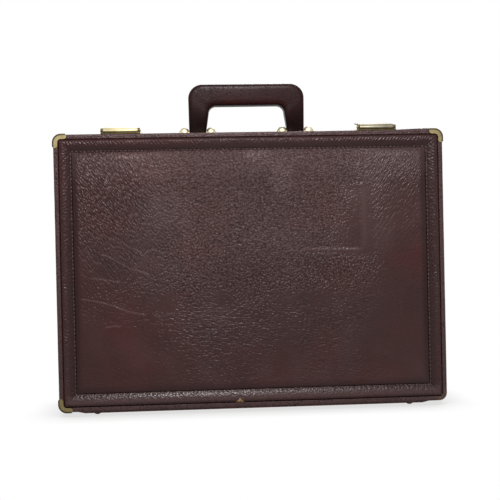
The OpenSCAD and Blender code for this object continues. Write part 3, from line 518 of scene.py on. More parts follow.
def soft_noise(u, v, seed, size=1.0):
    """Smooth values from -1 to 1 with one wave for each size."""
    table = np.random.default_rng(seed).uniform(-1.0, 1.0, (LATTICE, LATTICE))
    u, v = u / size, v / size
    i, j = np.floor(u).astype(int), np.floor(v).astype(int)
    a, b = step(u - i, 0.0, 1.0), step(v - j, 0.0, 1.0)
    corner = [table[(i + p) % LATTICE, (j + q) % LATTICE] for p in (0, 1) for q in (0, 1)]
    return (corner[0] * (1 - a) + corner[2] * a) * (1 - b) + (corner[1] * (1 - a) + corner[3] * a) * b


def furrow(x, z, start, end, width, bow=0.0):
    """1 on the line between two points and 0 beyond its width. bow bends the line sideways."""
    run = np.array(end) - np.array(start)
    length = np.hypot(*run)
    along = ((x - start[0]) * run[0] + (z - start[1]) * run[1]) / length ** 2
    across = ((x - start[0]) * -run[1] + (z - start[1]) * run[0]) / length
    across = across - bow * 4.0 * along * (1.0 - along)
    return step(along, -0.04, 0.1) * step(along, 1.04, 0.9) * np.exp(-(across / width) ** 2)


print("relief helpers ready")

# %% [markdown]
# ## The padded face
# Leather is drawn over a sheet of foam in the middle of each face and sewn down all round. The pad rises in
# a rolled shoulder and is almost flat in the middle. It is one fine grid. Heights are added to it in order:
# the shoulder and crown of the CAD, slow lumps of foam, puckers at the seam, and on the front the marks of
# use: the flap of a pocket pressed through from inside, and long scratches at the lower left. The finer
# grain is left to the material. Numbers kept on the mesh tell it where the wrinkles lean, where they lie
# level, where the hide is rubbed smooth, where it is red or scratched, where painted shade darkens it along
# the rolled edges, to the left and towards the bottom, and where a painted sheen lightens its upper part.

# %% Sizes of the face
MM = 0.001
HIDE_T = 0.0012
pad_low, pad_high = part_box("front_pad")
PAD_HALF = (pad_high.x, (pad_high.z - pad_low.z) / 2)
MID_Z = (pad_high.z + pad_low.z) / 2
PANEL_Y = -pad_high.y
FACE_Y = PANEL_Y + HIDE_T
PAD_POINTS = (380, 258)
ROLL_W = 0.0095
PUCKER_PITCH = 0.0036
print("pad in mm:", [round(2000 * half, 1) for half in PAD_HALF], "and its middle at", round(MID_Z, 4), "m")

# %% Marks of use
# Pressed lines: start, end, width and lift in millimetres. The first two are the edges of the flap.
PRESSED = [((0.130, 0.095), (0.1293, 0.019), 0.0019, 0.6), ((0.055, 0.021), (0.128, 0.0192), 0.0018, 0.8),
           ((0.104, 0.0925), (0.130, 0.094), 0.0014, 0.4), ((0.121, 0.0985), (0.127, 0.0985), 0.0022, -0.5),
           ((0.124, 0.092), (0.124, 0.024), 0.002, -0.3), ((0.07, 0.0252), (0.124, 0.0232), 0.002, -0.4)]
# Red places: middle, half width, half height and share.
RED_ZONES = [(-0.14, -0.085, 0.06, 0.055, 0.5), (0.0, -0.11, 0.12, 0.03, 0.2),
             (-0.155, -0.098, 0.022, 0.020, 0.6), (-0.193, 0.012, 0.010, 0.03, 0.6),
             (-0.160, 0.055, 0.02, 0.012, 0.4), (0.105, -0.005, 0.03, 0.02, 0.35),
             (-0.05, 0.07, 0.03, 0.05, 0.25), (0.19, 0.03, 0.012, 0.03, 0.5)]
# Scratches: start, end and bow.
SCRATCHES = [((-0.1699, 0.0217), (-0.1379, 0.0037), 0.0), ((-0.140, 0.0046), (-0.1167, -0.0047), 0.001),
             ((-0.1932, -0.0290), (-0.150, -0.0405), 0.001), ((-0.155, -0.0395), (-0.1216, -0.0487), -0.001),
             ((-0.1685, -0.0622), (-0.1506, -0.0615), 0.0012), ((-0.183, -0.006), (-0.150, -0.012), 0.001),
             ((-0.133, 0.028), (-0.124, 0.018), 0.0), ((-0.124, 0.018), (-0.118, 0.024), 0.0)]


def scratched(x, z):
    """1 on a scratch of the front face."""
    return np.max([furrow(x, z, start, end, 0.0006, bow) for start, end, bow in SCRATCHES], axis=0)


print("marks:", len(PRESSED), "pressed lines,", len(RED_ZONES), "red places and", len(SCRATCHES), "scratches")


# %% Relief of the pad
def rim_gaps(x, z):
    """Distance inwards from the ends and from the long sides of the pad."""
    return PAD_HALF[0] - np.abs(x), PAD_HALF[1] - np.abs(z)


def pad_relief(x, z, front, seed):
    """Height of the padded leather over the panel in metres."""
    gap_x, gap_z = rim_gaps(x, z)
    roll_x, roll_z = [1.0 - (1.0 - np.minimum(gap / ROLL_W, 1.0)) ** 2.0 for gap in (gap_x, gap_z)]
    crown = (1 - (x / PAD_HALF[0]) ** 2) * (1 - (z / PAD_HALF[1]) ** 2)
    lumps = soft_noise(x / 0.034, z / 0.03, seed) + 0.5 * soft_noise(x / 0.015, z / 0.013, seed + 1)
    height = 0.4 + 0.5 * crown + (3.1 + 0.14 * lumps) * roll_x * roll_z
    edge = np.minimum(gap_x, gap_z)
    turns = np.where(gap_x < gap_z, z, x) / PUCKER_PITCH + np.where(x < 0, 1.0, -1.0) * edge / 0.006
    pucker = np.sin(2 * math.pi * (turns + 0.7 * soft_noise(x, z, seed + 8, 0.014)))
    pucker *= np.exp(-((edge - 0.004) / 0.005) ** 2) * (0.6 + 0.4 * soft_noise(x, z, seed + 9, 0.02))
    height += 0.16 * pucker
    if front:
        for start, end, width, lift in PRESSED:
            height += lift * furrow(x, z, start, end, width)
        height += 0.1 * scratched(x, z) - 0.12 * scratched(x, z - 0.0015)
    return height * MM


middle = pad_relief(np.zeros(1), np.zeros(1), False, 11)[0]
print("leather over the panel at the middle of the pad:", round(middle / MM, 2), "mm")


# %% Numbers for the padded leather
def pad_values(x, z, front, seed):
    """Numbers that the padded leather reads: which grain, how deep it is, and the share of each colour."""
    gap_x, gap_z = rim_gaps(x, z)
    flap = [furrow(x, z, start, end, 1.7 * width) for start, end, width, lift in PRESSED[:2]]
    pressed = front * np.max(flap, axis=0)
    fades_at = 0.07 * step(np.abs(x), 0.10, 0.19) - 0.045
    strength = 0.62 + 0.38 * step(z - fades_at + 0.03 * soft_noise(x, z, seed + 4, 0.04), -0.07, 0.06)
    strength *= 0.25 + 0.75 * step(gap_x, 0.003, 0.0085) * np.maximum(step(gap_z, 0.002, 0.007), z > 0)
    behind_flap = step(x, 0.085, 0.12) * step(x, 0.145, 0.134) * step(z, 0.008, 0.016) * step(z, 0.105, 0.09)
    for gain, zone in (
            (0.3, step(z, 0.02, 0.10)), (-0.25, step(x, 0.12, 0.17)), (-0.7, pressed), (-0.6, behind_flap),
            (-0.45, step(soft_noise(x, z, seed + 7, 0.034), 0.25, 0.8)),
            (-0.45, step(x, 0.13, 0.16) * step(z, 0.11, 0.09)),
            (-0.45, step(x, -0.06, -0.13) * step(z, -0.03, -0.08))):
        strength *= 1 + gain * zone
    # Painted shade: darker along the rolled edges beside the seam, towards the left and towards the bottom.
    fold = np.max([
        0.8 * step(gap_x, 0.009, 0.003), np.where(z > 0, 0.5, 0.8) * step(gap_z, 0.005, 0.0005),
        0.3 * step(x, -0.12, -0.19) + 0.15 * step(x, -0.05, -0.15) * step(z, -0.05, -0.12),
        0.14 * step(z, -0.01, -0.08)], axis=0)
    ruddy = 0.25 * step(x, -0.08, -0.15) * step(z, 0.0, -0.06)
    for at_x, at_z, wide, high, share in RED_ZONES:
        ruddy += share * np.exp(-((x - at_x) / wide) ** 2 - ((z - at_z) / high) ** 2)
    # Painted sheen: lighter over the upper middle and along the top shoulder, stored together with the
    # scratches.
    painted_sheen = 0.1 * step(z, -0.02, 0.07) * step(np.abs(x - 0.02), 0.19, 0.10) + 0.11 * step(z, 0.098, 0.118)
    return {"lean_left": step(x, -0.06, -0.14) * step(z, -0.05, 0.02),
            "lean_right": 0.9 * step(x, 0.10, 0.16) * step(z, -0.03, 0.05),
            "level": 0.8 * step(z + 0.02 * soft_noise(x, z, seed + 5, 0.05), -0.01, -0.05),
            "strength": strength, "fold": fold, "ruddy": ruddy,
            "scratch": painted_sheen + front * (0.4 * scratched(x, z) + 0.08 * pressed)}


print("numbers on the pad:", sorted(pad_values(np.zeros(1), np.zeros(1), False, 11)))


# %% Padded faces
def padded_face(name, out, seed):
    """The padded leather of one face. out is -1 for the front and 1 for the back."""
    nx, nz = PAD_POINTS
    x, z = np.meshgrid(np.linspace(-PAD_HALF[0], PAD_HALF[0], nx), np.linspace(-PAD_HALF[1], PAD_HALF[1], nz))
    top = np.stack([x, out * (PANEL_Y + pad_relief(x, z, out < 0, seed)), MID_Z + z], axis=-1).reshape(-1, 3)
    number = np.arange(nx * nz).reshape(nz, nx)
    rim = np.concatenate([number[0], number[1:, -1], number[-1, -2::-1], number[-2:0:-1, 0]]).tolist()
    foot = top[rim].copy()
    foot[:, 1] = out * PANEL_Y
    n, m = len(top), len(rim)
    skirt = [(rim[k], n + k, n + (k + 1) % m, rim[(k + 1) % m]) for k in range(m)]
    faces = [*grid_faces(nz, nx), *skirt, list(range(n, n + m))]
    piece = make_piece(name, np.concatenate([top, foot]), faces, padded_leather)
    for label, values in pad_values(x, z, out < 0, seed).items():
        keep_values(piece, label, np.concatenate([values.ravel(), values.ravel()[rim]]))
    return piece


for side, out, seed in (("front", -1, 11), ("rear", 1, 41)):
    face = dress(padded_face(side + "_padded_face", out, seed), side + "_pad")

# %% [markdown]
# ## The stitched border
# Round the pad runs a bead of the same leather over a cord of foam, mitred at the corners. Its section rises
# steeply from the groove at the outside and falls away gently to the seam beside the pad, so under a lamp
# from above the top side shows a thin bright line and the bottom side a wide one. The section is swept round
# the rectangle with its floor on both sides, and slanting pleats cross it where the leather is drawn tight.

# %% Section of the bead
border_low, border_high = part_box("front_border")
BORDER_HALF = (border_high.x, border_high.z - MID_Z)
BORDER_W = 0.0125
BORDER_RISE = -border_low.y - PANEL_Y
GROOVE_W = 0.001
VALLEY_W = BORDER_HALF[0] - BORDER_W - PAD_HALF[0]
FLOOR_T = 0.00035
BEAD_H = BORDER_RISE - FLOOR_T - 0.00025
SIDE_POINTS = (600, 424)
PEAK_AT = 0.30
PLEAT_PITCH = 0.0037
PLEAT_H = [0.00042 * k for k in (0.4, 0.8, 1.4, 0.9)]    # bottom, right, top, left
SCUFF_AT = (-0.018, -0.1488)


def bead_section():
    """Inset from the outer edge and height over the panel, from the groove floor to the seam floor."""
    t = np.linspace(0.0, 1.0, 24)
    steep = 1 - np.maximum(1 - t / PEAK_AT, 0.0) ** 2.3
    gentle = 1 - np.maximum((t - PEAK_AT) / (1 - PEAK_AT), 0.0) ** 1.7
    rise = steep ** 0.6 * gentle ** 0.85
    inset = np.concatenate([[-GROOVE_W], t * BORDER_W, [BORDER_W + VALLEY_W]])
    return inset, np.concatenate([[0.0], rise, [0.0]]), np.concatenate([[0.0], t, [1.0]])


print("bead:", BORDER_W / MM, "mm wide, with", len(bead_section()[0]), "points in its section")


# %% Stitched borders
def stitched_border(name, out, seed):
    """The bead round one face, as a ring that is closed along and across."""
    inset, rise, t = bead_section()
    pleated = step(t, 0.0, 0.12) * step(t, 0.62, 0.3) + 0.16 * step(t, 0.2, 0.5) * step(t, 1.0, 0.9)
    rings = []
    for side, pleat_h in enumerate(PLEAT_H):
        half_along, half_across = BORDER_HALF if side % 2 == 0 else BORDER_HALF[::-1]
        along = np.linspace(-1.0, 1.0, SIDE_POINTS[side % 2], endpoint=False)[:, None] * (half_along - inset)
        reach = (half_across - inset) * np.ones_like(along)
        turn = side * math.pi / 2
        x = along * math.cos(turn) + reach * math.sin(turn)
        z = along * math.sin(turn) - reach * math.cos(turn)
        lean = np.where(x * np.where(z < 0, -1, 1) < 0, 1.0, -1.0) * (inset / 0.005)
        pleat = np.sin(2 * math.pi * (along / PLEAT_PITCH + lean + 0.8 * soft_noise(x, z, seed, 0.012)))
        pleat *= pleat_h * pleated * (0.65 + 0.35 * soft_noise(x, z, seed + 3, 0.008))
        bulge = BEAD_H + 0.00012 * soft_noise(x, z, seed + 9, 0.022)
        height = FLOOR_T + bulge * rise + pleat
        rings.append(np.stack([x, out * (PANEL_Y + height), MID_Z + z], axis=-1))
    top = np.concatenate(rings)
    foot = top[:, [-1, 0]].copy()
    foot[..., 1] = out * PANEL_Y
    points = np.concatenate([top, foot], axis=1)
    piece = ring_piece(name, points, border_leather)
    x, z = points[..., 0] - SCUFF_AT[0], points[..., 2] - MID_Z - SCUFF_AT[1]
    rag = 0.0012 * soft_noise(x, z, seed + 5, 0.0015)
    triangle = step(0.0052 + rag - np.abs(x) - 1.1 * np.maximum(z + 0.002, 0), 0.0, 0.0008)
    across = np.concatenate([t, t[[-1, 0]]]) * np.ones_like(x)
    # Painted highlight over the bottom side of the bead, which faces up, and painted shade on the inner slope
    # and in the seam valley of every side.
    painted_highlight_low_side = step(points[..., 2] - MID_Z + BORDER_HALF[1], 0.014, 0.011)
    keep_values(piece, "scuff", 0.9 * (out < 0) * triangle * step(z, -0.0034, -0.0022))
    keep_values(piece, "fold", 0.75 * step(across, 0.35, 0.75))
    keep_values(piece, "scratch", 0.16 * painted_highlight_low_side * step(across, 0.12, 0.3) * step(across, 0.9, 0.6))
    return piece


for side, out, seed in (("front", -1, 71), ("rear", 1, 91)):
    dress(stitched_border(side + "_stitched_border", out, seed), side + "_border")

# %% [markdown]
# ## Leather over the walls
# Each wall is wrapped in one strip of leather that turns over the edge of the face. The section is an L with
# a rounded elbow, swept round the case. The sweep is a list of stations: a place on the outline, and the
# direction in which the section points there. The corners have their own stations, a few degrees apart. One
# upper corner has swollen a little, and the lower right one is bare and rubbed, as its brass cap is lost.

# %% Outline and section of the walls
case_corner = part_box("lid_leather")[1]
CASE_HALF = (case_corner.x, case_corner.z - MID_Z)
CORNER_R = 0.009
WALL_T = 0.0052
EDGE_R = 0.0022
RIM_LIP = 0.003


def outline_stations(pitch, corner_steps):
    """Stations round the case: the centre that the section points away from, and its direction."""
    spots, ways = [], []
    flat = [CASE_HALF[0] - CORNER_R, CASE_HALF[1] - CORNER_R]
    corners = [(flat[0], -flat[1]), (flat[0], flat[1]), (-flat[0], flat[1]), (-flat[0], -flat[1])]
    for k, corner in enumerate(corners):
        for s in range(corner_steps + 1):
            angle = math.radians(-90 + 90 * k + 90 * s / corner_steps)
            spots.append(corner)
            ways.append((math.cos(angle), math.sin(angle)))
        ahead = corners[(k + 1) % 4]
        count = int(math.dist(corner, ahead) / pitch)
        for s in range(1, count):
            spots.append([corner[i] + (ahead[i] - corner[i]) * s / count for i in (0, 1)])
            ways.append(ways[-1])
    return np.array(spots), np.array(ways)


def wall_section(depth):
    """The L section of the leather: x outwards from the corner centre, and depth from the face edge."""
    elbow = [(CORNER_R - EDGE_R + EDGE_R * math.sin(a), EDGE_R - EDGE_R * math.cos(a))
             for a in np.radians(np.linspace(0, 90, 7))]
    face = [(x, 0.0) for x in np.linspace(CORNER_R - WALL_T, CORNER_R - EDGE_R, 7)[:-1]]
    wall = [(CORNER_R, y) for y in np.linspace(EDGE_R, depth - RIM_LIP, 20)[1:]]
    inner = [(CORNER_R - HIDE_T, depth - RIM_LIP), (CORNER_R - HIDE_T, HIDE_T), (CORNER_R - WALL_T, HIDE_T)]
    return np.array(face + elbow + wall + inner)


print("stations round the case:", len(outline_stations(0.0012, 12)[0]))


# %% Wall leather
def wall_cover(name, out, depth, seed):
    """Leather over the wall of one half."""
    spots, ways = outline_stations(0.0012, 12)
    section = wall_section(depth)
    reach, deep = section[None, :, 0], section[None, :, 1]
    x, z = [spots[:, None, i] + ways[:, None, i] * reach for i in (0, 1)]
    deep = deep * np.ones_like(x)
    wave = soft_noise((x + z) / 0.03, deep / 0.02 + (x - z) / 0.03, seed)
    below_top = CASE_HALF[1] - z
    swell = step(x, 0.150, 0.206) * step(x, 0.2225, 0.216) * step(below_top, 0.006, 0.001)
    outer = reach > CORNER_R - 0.0001
    lift = (out < 0) * 0.0013 * swell * step(deep, 0.030, 0.004) - 0.00014 * np.abs(wave) * outer
    x, z = x + ways[:, None, 0] * lift, z + ways[:, None, 1] * lift
    hem = (reach < CORNER_R - EDGE_R) * (deep < 0.0001)
    ripple = 0.00014 * hem * np.sin(2 * math.pi * ((x + z) / 0.0027 + soft_noise(x, z, seed + 4, 0.01)))
    points = np.stack([x, out * (FACE_Y - deep + ripple - 0.00005), MID_Z + z], axis=-1)
    piece = ring_piece(name, points, wall_leather)
    bare = np.exp(-((x - CASE_HALF[0]) / 0.007) ** 2 - ((z + CASE_HALF[1]) / 0.007) ** 2) * (out < 0)
    rub = bare * (0.35 + 0.5 * soft_noise(x / 0.003, z / 0.003 + deep / 0.003, seed + 2))
    keep_values(piece, "scuff", np.clip(rub, 0, 0.6))
    return piece


for half, out, seed in (("lid", -1, 111), ("base", 1, 131)):
    node = half + "_leather"
    low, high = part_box(node)
    dress(wall_cover(half + "_wall_cover", out, high.y - low.y + RIM_LIP, seed), node)

# %% [markdown]
# ## The handle
# The grip is a bent core wrapped in leather: flat at the front and back with rounded edges, and legs that
# widen upwards on the inside. It is a loft: rings of points are set across the path from one eye, up the
# leg, round the bend and down again. A ring is a squared circle, so one exponent sets how boxy it looks.
# Below the pin, each eye is closed by rings that shrink like slices of a cylinder.

# %% Rings of the handle
eye_low, eye_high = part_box("handle_eye_tubes")
grip_low, grip_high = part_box("handle_grip")
HANDLE_AT = np.array([0.0, (eye_low.y + eye_high.y) / 2, (eye_low.z + eye_high.z) / 2])
HALF_W = grip_high.x
TOP_H = grip_high.z - HANDLE_AT[2]
EYE_HALF = HANDLE_AT[2] - grip_low.z
GRIP_HALF_D = (grip_high.y - grip_low.y) / 2
GRIP_H, LEG_W, LEG_FLARE, OUTER_R, INNER_R = 0.026, 0.0215, 0.003, 0.017, 0.009
EYE_INSET = 0.0004
BOXY = 0.37


def handle_rings(eye_steps, leg_steps, bend_steps, bar_steps):
    """Outer point, inner point and half depth of each ring, from the right eye to the middle."""
    rings = []
    for angle in np.radians(np.linspace(-82, 0, eye_steps, endpoint=False)):
        z = EYE_HALF * math.sin(angle)
        rings.append(((HALF_W - EYE_INSET, z), (HALF_W - LEG_W + EYE_INSET, z), EYE_HALF * math.cos(angle)))
    for t in np.linspace(0, 1, leg_steps + 1):
        rings.append(((HALF_W - EYE_INSET * (1 - t), t * (TOP_H - OUTER_R)),
                      (HALF_W - LEG_W - t * LEG_FLARE + EYE_INSET * (1 - t), t * (TOP_H - GRIP_H - INNER_R)),
                      EYE_HALF + (GRIP_HALF_D - EYE_HALF) * math.sin(t * math.pi / 2)))
    for a in np.linspace(0, math.pi / 2, bend_steps + 1)[1:]:
        rings.append(((HALF_W - OUTER_R * (1 - math.cos(a)), TOP_H - OUTER_R * (1 - math.sin(a))),
                      (HALF_W - LEG_W - LEG_FLARE - INNER_R * (1 - math.cos(a)),
                       TOP_H - GRIP_H - INNER_R * (1 - math.sin(a))), GRIP_HALF_D))
    (outer_x, outer_z), (inner_x, inner_z), deep = rings[-1]
    for t in np.linspace(0, 1, bar_steps + 1)[1:]:
        rings.append(((outer_x * (1 - t), outer_z), (inner_x * (1 - t), inner_z), deep))
    return rings


def squared(value, power):
    """Keeps the sign and raises the size of a sine or cosine to a power below 1."""
    return np.sign(value) * np.abs(value) ** power


print("rings in half the handle:", len(handle_rings(6, 20, 20, 30)))

# %% Handle
angles = np.linspace(0, 2 * math.pi, 64, endpoint=False)
half_rings = handle_rings(6, 20, 20, 30)
all_rings = half_rings + [((-o[0], o[1]), (-i[0], i[1]), d) for o, i, d in half_rings[-2::-1]]
loft = []
for outer, inner, deep in all_rings:
    middle, half = (np.array(outer) + np.array(inner)) / 2, (np.array(outer) - np.array(inner)) / 2
    line = middle + half * squared(np.cos(angles), BOXY)[:, None]
    loft.append(np.stack([line[:, 0], deep * squared(np.sin(angles), BOXY), line[:, 1]], axis=-1))
loft = np.array(loft)
creep = soft_noise(loft[..., 0] / 0.012, loft[..., 2] / 0.012 + 150 * loft[..., 1], 151)
loft[..., 1] *= 1.0 - 0.014 * np.abs(creep)
rows, columns = loft.shape[:2]
ends = [list(range(columns)), list(range((rows - 1) * columns, rows * columns))]
grip = make_piece("handle_leather_grip", loft.reshape(-1, 3) + HANDLE_AT,
                  [*grid_faces(rows, columns, False, True), *ends], grip_leather)
# Painted shade: the legs below the bar are darkened.
keep_values(grip, "fold", 0.8 * step(loft[..., 2], TOP_H - 0.02, 0.005))
dress(grip, "handle_grip")

# %% [markdown]
# ## Softened copies
# A CAD edge is perfectly sharp, and a real stamped or cast edge catches a thin line of light. Where the CAD
# shape is right, a copy of it is enough: its loose triangles are merged, flat areas are joined, and each
# sharp edge gets a small bevel.


# %% Softened copies
WELD = 1e-6


def softened(node, radius):
    """A copy of a CAD node with rounded edges, which replaces the node."""
    work = bmesh.new()
    work.from_mesh(nodes[node].data)
    bmesh.ops.remove_doubles(work, verts=work.verts, dist=WELD)
    bmesh.ops.dissolve_limit(work, angle_limit=math.radians(1.2), verts=work.verts, edges=work.edges)
    sharp = [e for e in work.edges if len(e.link_faces) == 2 and e.calc_face_angle() > math.radians(28)]
    bmesh.ops.bevel(work, geom=sharp, offset=radius, segments=2, profile=0.5, affect="EDGES",
                    clamp_overlap=True)
    bmesh.ops.triangulate(work, faces=work.faces)
    bmesh.ops.recalc_face_normals(work, faces=work.faces)
    mesh = bpy.data.meshes.new(node + "_finished")
    work.to_mesh(mesh)
    work.free()
    mesh.materials.append(nodes[node].data.materials[0])
    mesh.shade_smooth()
    mesh.set_sharp_from_angle(angle=math.radians(40))
    dress(link(mesh.name, mesh), node)


for radius, kinds in ((0.00018, "hasp_base lock_case latch_button key_plug handle_bracket"),
                      (0.0003, "hasp stay_arm stay_link")):
    for kind in kinds.split():
        for side in ("left_", "right_"):
            softened(side + kind, radius)
for node in ("base_wear_strip", "lid_wear_strip", "document_pocket", "card_pocket", "pen_loops"):
    softened(node, 0.0004)

# %% [markdown]
# ## Geometry Nodes for what repeats
# Stitches follow a path and screws sit at known places, so both are instances on points. Each kind is one
# node group with named inputs. The result is baked to a plain mesh, because a plain mesh can ride on a body
# and be exported. A stitch is a stretched sphere, laid along the path with a small random turn, and a fixed
# seed keeps it the same in every run.


# %% Geometry helpers
STITCH_PARTS = (10, 6)


def geometry_group(name, inputs):
    """An empty geometry group that takes a mesh, named inputs, a seed and a material."""
    inputs = {"Geometry": "Geometry", **inputs, "Int": "Seed", "Material": "Material"}
    return new_group(name, inputs, {"Geometry": "Geometry"}, "GeometryNodeTree")


def set_on_points(graph, given, points, shape, turn, swing, size):
    """A shape on each point, turned about its own Z by a random angle within swing, as one plain mesh."""
    swing = {2: swing[0], 3: swing[1], "Seed": given["Seed"]}
    by = graph.add("CombineXYZ", {"Z": graph.node("RandomValue", swing, data_type="FLOAT").outputs[1]})
    by = graph.add("EulerToRotation", {"Euler": by})
    turn = graph.add("RotateRotation", {"Rotation": turn, "Rotate By": by}, rotation_space="LOCAL")
    laid = {"Points": points, "Instance": shape, "Rotation": turn, "Scale": size}
    laid = graph.add("RealizeInstances", {"Geometry": graph.add("InstanceOnPoints", laid)})
    return graph.add("SetMaterial", {"Geometry": laid, "Material": given["Material"]})


def bake(name, mesh, group, settings):
    """Runs a geometry group on a mesh and keeps the result as a plain object."""
    source = link(name + "_source", mesh)
    modifier = source.modifiers.new("build", "NODES")
    modifier.node_group = group
    sockets = {item.name: item.identifier for item in group.interface.items_tree if item.in_out == "INPUT"}
    for label, value in settings.items():
        modifier[sockets[label]] = value
    bpy.context.view_layer.update()
    built = bpy.data.meshes.new_from_object(source.evaluated_get(bpy.context.evaluated_depsgraph_get()))
    bpy.data.objects.remove(source)
    built.name = name
    return link(name, built)


print("geometry helpers ready")

# %% Stitch group
graph, given, result = geometry_group("stitch_run", {"Float": "Pitch Length Width", "Vector": "Outward"})
stitch_group = graph.tree
path = graph.add("MeshToCurve", {"Mesh": given["Geometry"]})
path = graph.add("ResampleCurve", {"Curve": path, "Length": given["Pitch"]}, mode="LENGTH")
bead = graph.add("MeshUVSphere", {"Segments": STITCH_PARTS[0], "Rings": STITCH_PARTS[1], "Radius": 0.5})
bead = graph.add("SetShadeSmooth", {0: bead})
size = graph.add("CombineXYZ", {"X": given["Length"], "Y": given["Width"], "Z": given["Width"]})
turn = graph.add("AlignRotationToVector", {"Vector": graph.add("InputTangent")}, axis="X")
turn = {"Rotation": turn, "Vector": given["Outward"]}
turn = graph.add("AlignRotationToVector", turn, axis="Z", pivot_axis="X")
graph.fill(result, {"Geometry": set_on_points(graph, given, path, bead, turn, (-0.12, 0.12), size)})
print("stitch group:", len(stitch_group.nodes), "nodes")

# %% [markdown]
# ## Seams
# The seam of each face lies in the valley between bead and pad. The organiser in the lid is sewn round its
# pockets. A seam is a chain of points with rounded corners.


# %% Seams
SEAM_R = 0.002
SEAM_RISE = 0.00055


def chain(points, closed):
    """A mesh of edges through the points."""
    mesh = bpy.data.meshes.new("chain")
    count = len(points)
    edges = [(k, (k + 1) % count) for k in range(count if closed else count - 1)]
    mesh.from_pydata(points, edges, [])
    return mesh


def seam_round_face(out):
    """The seam in the valley of one face."""
    half_x, half_z = [h + VALLEY_W / 2 - SEAM_R for h in PAD_HALF]
    points = []
    for k, (sx, sz) in enumerate(((1, -1), (1, 1), (-1, 1), (-1, -1))):
        for angle in np.radians(-90 + 90 * k + np.linspace(0, 90, 5)):
            points.append((sx * half_x + SEAM_R * math.cos(angle), out * (PANEL_Y + SEAM_RISE),
                           MID_Z + sz * half_z + SEAM_R * math.sin(angle)))
    return chain(points, True)


def seam_round_pocket(node, inset):
    """Down one side of a pocket, across its foot and up the other side."""
    low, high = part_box(node)
    left, right, foot, top, y = low.x + inset, high.x - inset, low.z + inset, high.z - inset, high.y + 0.0001
    return chain([(left, y, top), (left, y, foot), (right, y, foot), (right, y, top)], False)


def sew(name, mesh, body, slot_name, pitch, length, width, facing, seed, material):
    """A run of stitches that rides on a body."""
    run = bake(name, mesh, stitch_group, {"Pitch": pitch, "Length": length, "Width": width,
                                          "Outward": (0, facing, 0), "Seed": seed, "Material": material})
    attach(run, body)
    return run


pocket_seam = seam_round_pocket("document_pocket", 0.003)
card_seam = seam_round_pocket("card_pocket", 0.0025)
seams = [sew(*run) for run in (
    ("front_face_seam", seam_round_face(-1), "lid", "leather", 0.0046, 0.0033, 0.0008, -1, 3, thread),
    ("rear_face_seam", seam_round_face(1), "base", "leather", 0.0046, 0.0033, 0.0008, 1, 5, thread),
    ("document_pocket_seam", pocket_seam, "lid", "pocket_leather", 0.0042, 0.003, 0.0007, 1, 7, pale_thread),
    ("card_pocket_seam", card_seam, "lid", "pocket_leather", 0.0036, 0.0026, 0.0007, 1, 9, pale_thread))]
print("stitches:", {seam.name: len(seam.data.polygons) // math.prod(STITCH_PARTS) for seam in seams})

# %% [markdown]
# ## Screws, rivets and nails
# The CAD holds a plain head at each place, with the right size. The heads of one node are found as islands of
# its mesh: the thin side of an island is its axis, and it points away from the case. Geometry Nodes then sets
# a domed or flat head there, cuts the slot, and turns each screw by a random angle, as a hand leaves it.

# %% Heads group
graph, given, result = geometry_group("fastener_heads", {"Float": "Diameter Height Slot", "Bool": "Flat"})
head_group = graph.tree
dome = graph.add("MeshUVSphere", {"Segments": 24, "Rings": 12, "Radius": 0.5})
dome = graph.add("Transform", {"Geometry": dome, "Scale": (1.0, 1.0, 2.0)})
disc = graph.add("MeshCylinder", {"Vertices": 24, "Radius": 0.5, "Depth": 2.0})
head = graph.add("Switch", {"Switch": given["Flat"], "False": dome, "True": disc}, input_type="GEOMETRY")
slot_y = graph.maths("DIVIDE", given["Slot"], given["Diameter"])
bar = graph.add("MeshCube", {"Size": graph.add("CombineXYZ", {"X": 2.0, "Y": slot_y, "Z": 1.0})})
bar = graph.add("Transform", {"Geometry": bar, "Translation": (0.013, 0.0, 1.04)})
slotted = graph.add("MeshBoolean", {0: head, 1: bar}, operation="DIFFERENCE", solver="EXACT")
cut = graph.add("Compare", {0: given["Slot"], 1: 0.0}, operation="GREATER_THAN")
head = graph.add("Switch", {"Switch": cut, "False": head, "True": slotted}, input_type="GEOMETRY")
size = graph.add("CombineXYZ", {"X": given["Diameter"], "Y": given["Diameter"], "Z": given["Height"]})
axis = graph.add("InputNamedAttribute", {"Name": "outward"}, data_type="FLOAT_VECTOR")
turn = graph.add("AlignRotationToVector", {"Vector": axis}, axis="Z")
heads = set_on_points(graph, given, given["Geometry"], head, turn, (0.0, math.pi), size)
graph.fill(result, {"Geometry": heads})
print("heads group:", len(head_group.nodes), "nodes")


# %% Fasteners
def islands(node):
    """Lowest and highest corner of each loose part of a node."""
    work = bmesh.new()
    work.from_mesh(nodes[node].data)
    bmesh.ops.remove_doubles(work, verts=work.verts, dist=WELD)
    waiting, found = set(work.verts), []
    while waiting:
        part = [waiting.pop()]
        for vert in part:
            near = {e.other_vert(vert) for e in vert.link_edges} & waiting
            waiting -= near
            part.extend(near)
        places = np.array([vert.co for vert in part])
        found.append((places.min(axis=0), places.max(axis=0)))
    work.free()
    return sorted(found, key=lambda box: tuple(box[0]))


def fasteners(node, slot_w, flat, seed, material):
    """Heads that stand for the plain ones of a CAD node."""
    seats, ways = [], []
    for low, high in islands(node):
        size, middle = high - low, (high + low) / 2
        k = int(np.argmin(size))
        way = np.zeros(3)
        way[k] = math.copysign(1.0, middle[k] - (MID_Z if k == 2 else 0.0))
        seats.append(tuple(middle - way * size[k] / 2))
        ways.append(way)
    mesh = bpy.data.meshes.new(node + "_seats")
    mesh.from_pydata(seats, [], [])
    layer = mesh.attributes.new("outward", "FLOAT_VECTOR", "POINT")
    layer.data.foreach_set("vector", np.array(ways, np.float32).ravel())
    heads = bake(node + "_heads", mesh, head_group, {
        "Diameter": float(size.max()), "Height": float(size.min()), "Slot": slot_w, "Flat": flat,
        "Seed": seed, "Material": material})
    heads.data.shade_smooth()
    heads.data.set_sharp_from_angle(angle=math.radians(35))
    dress(heads, node)


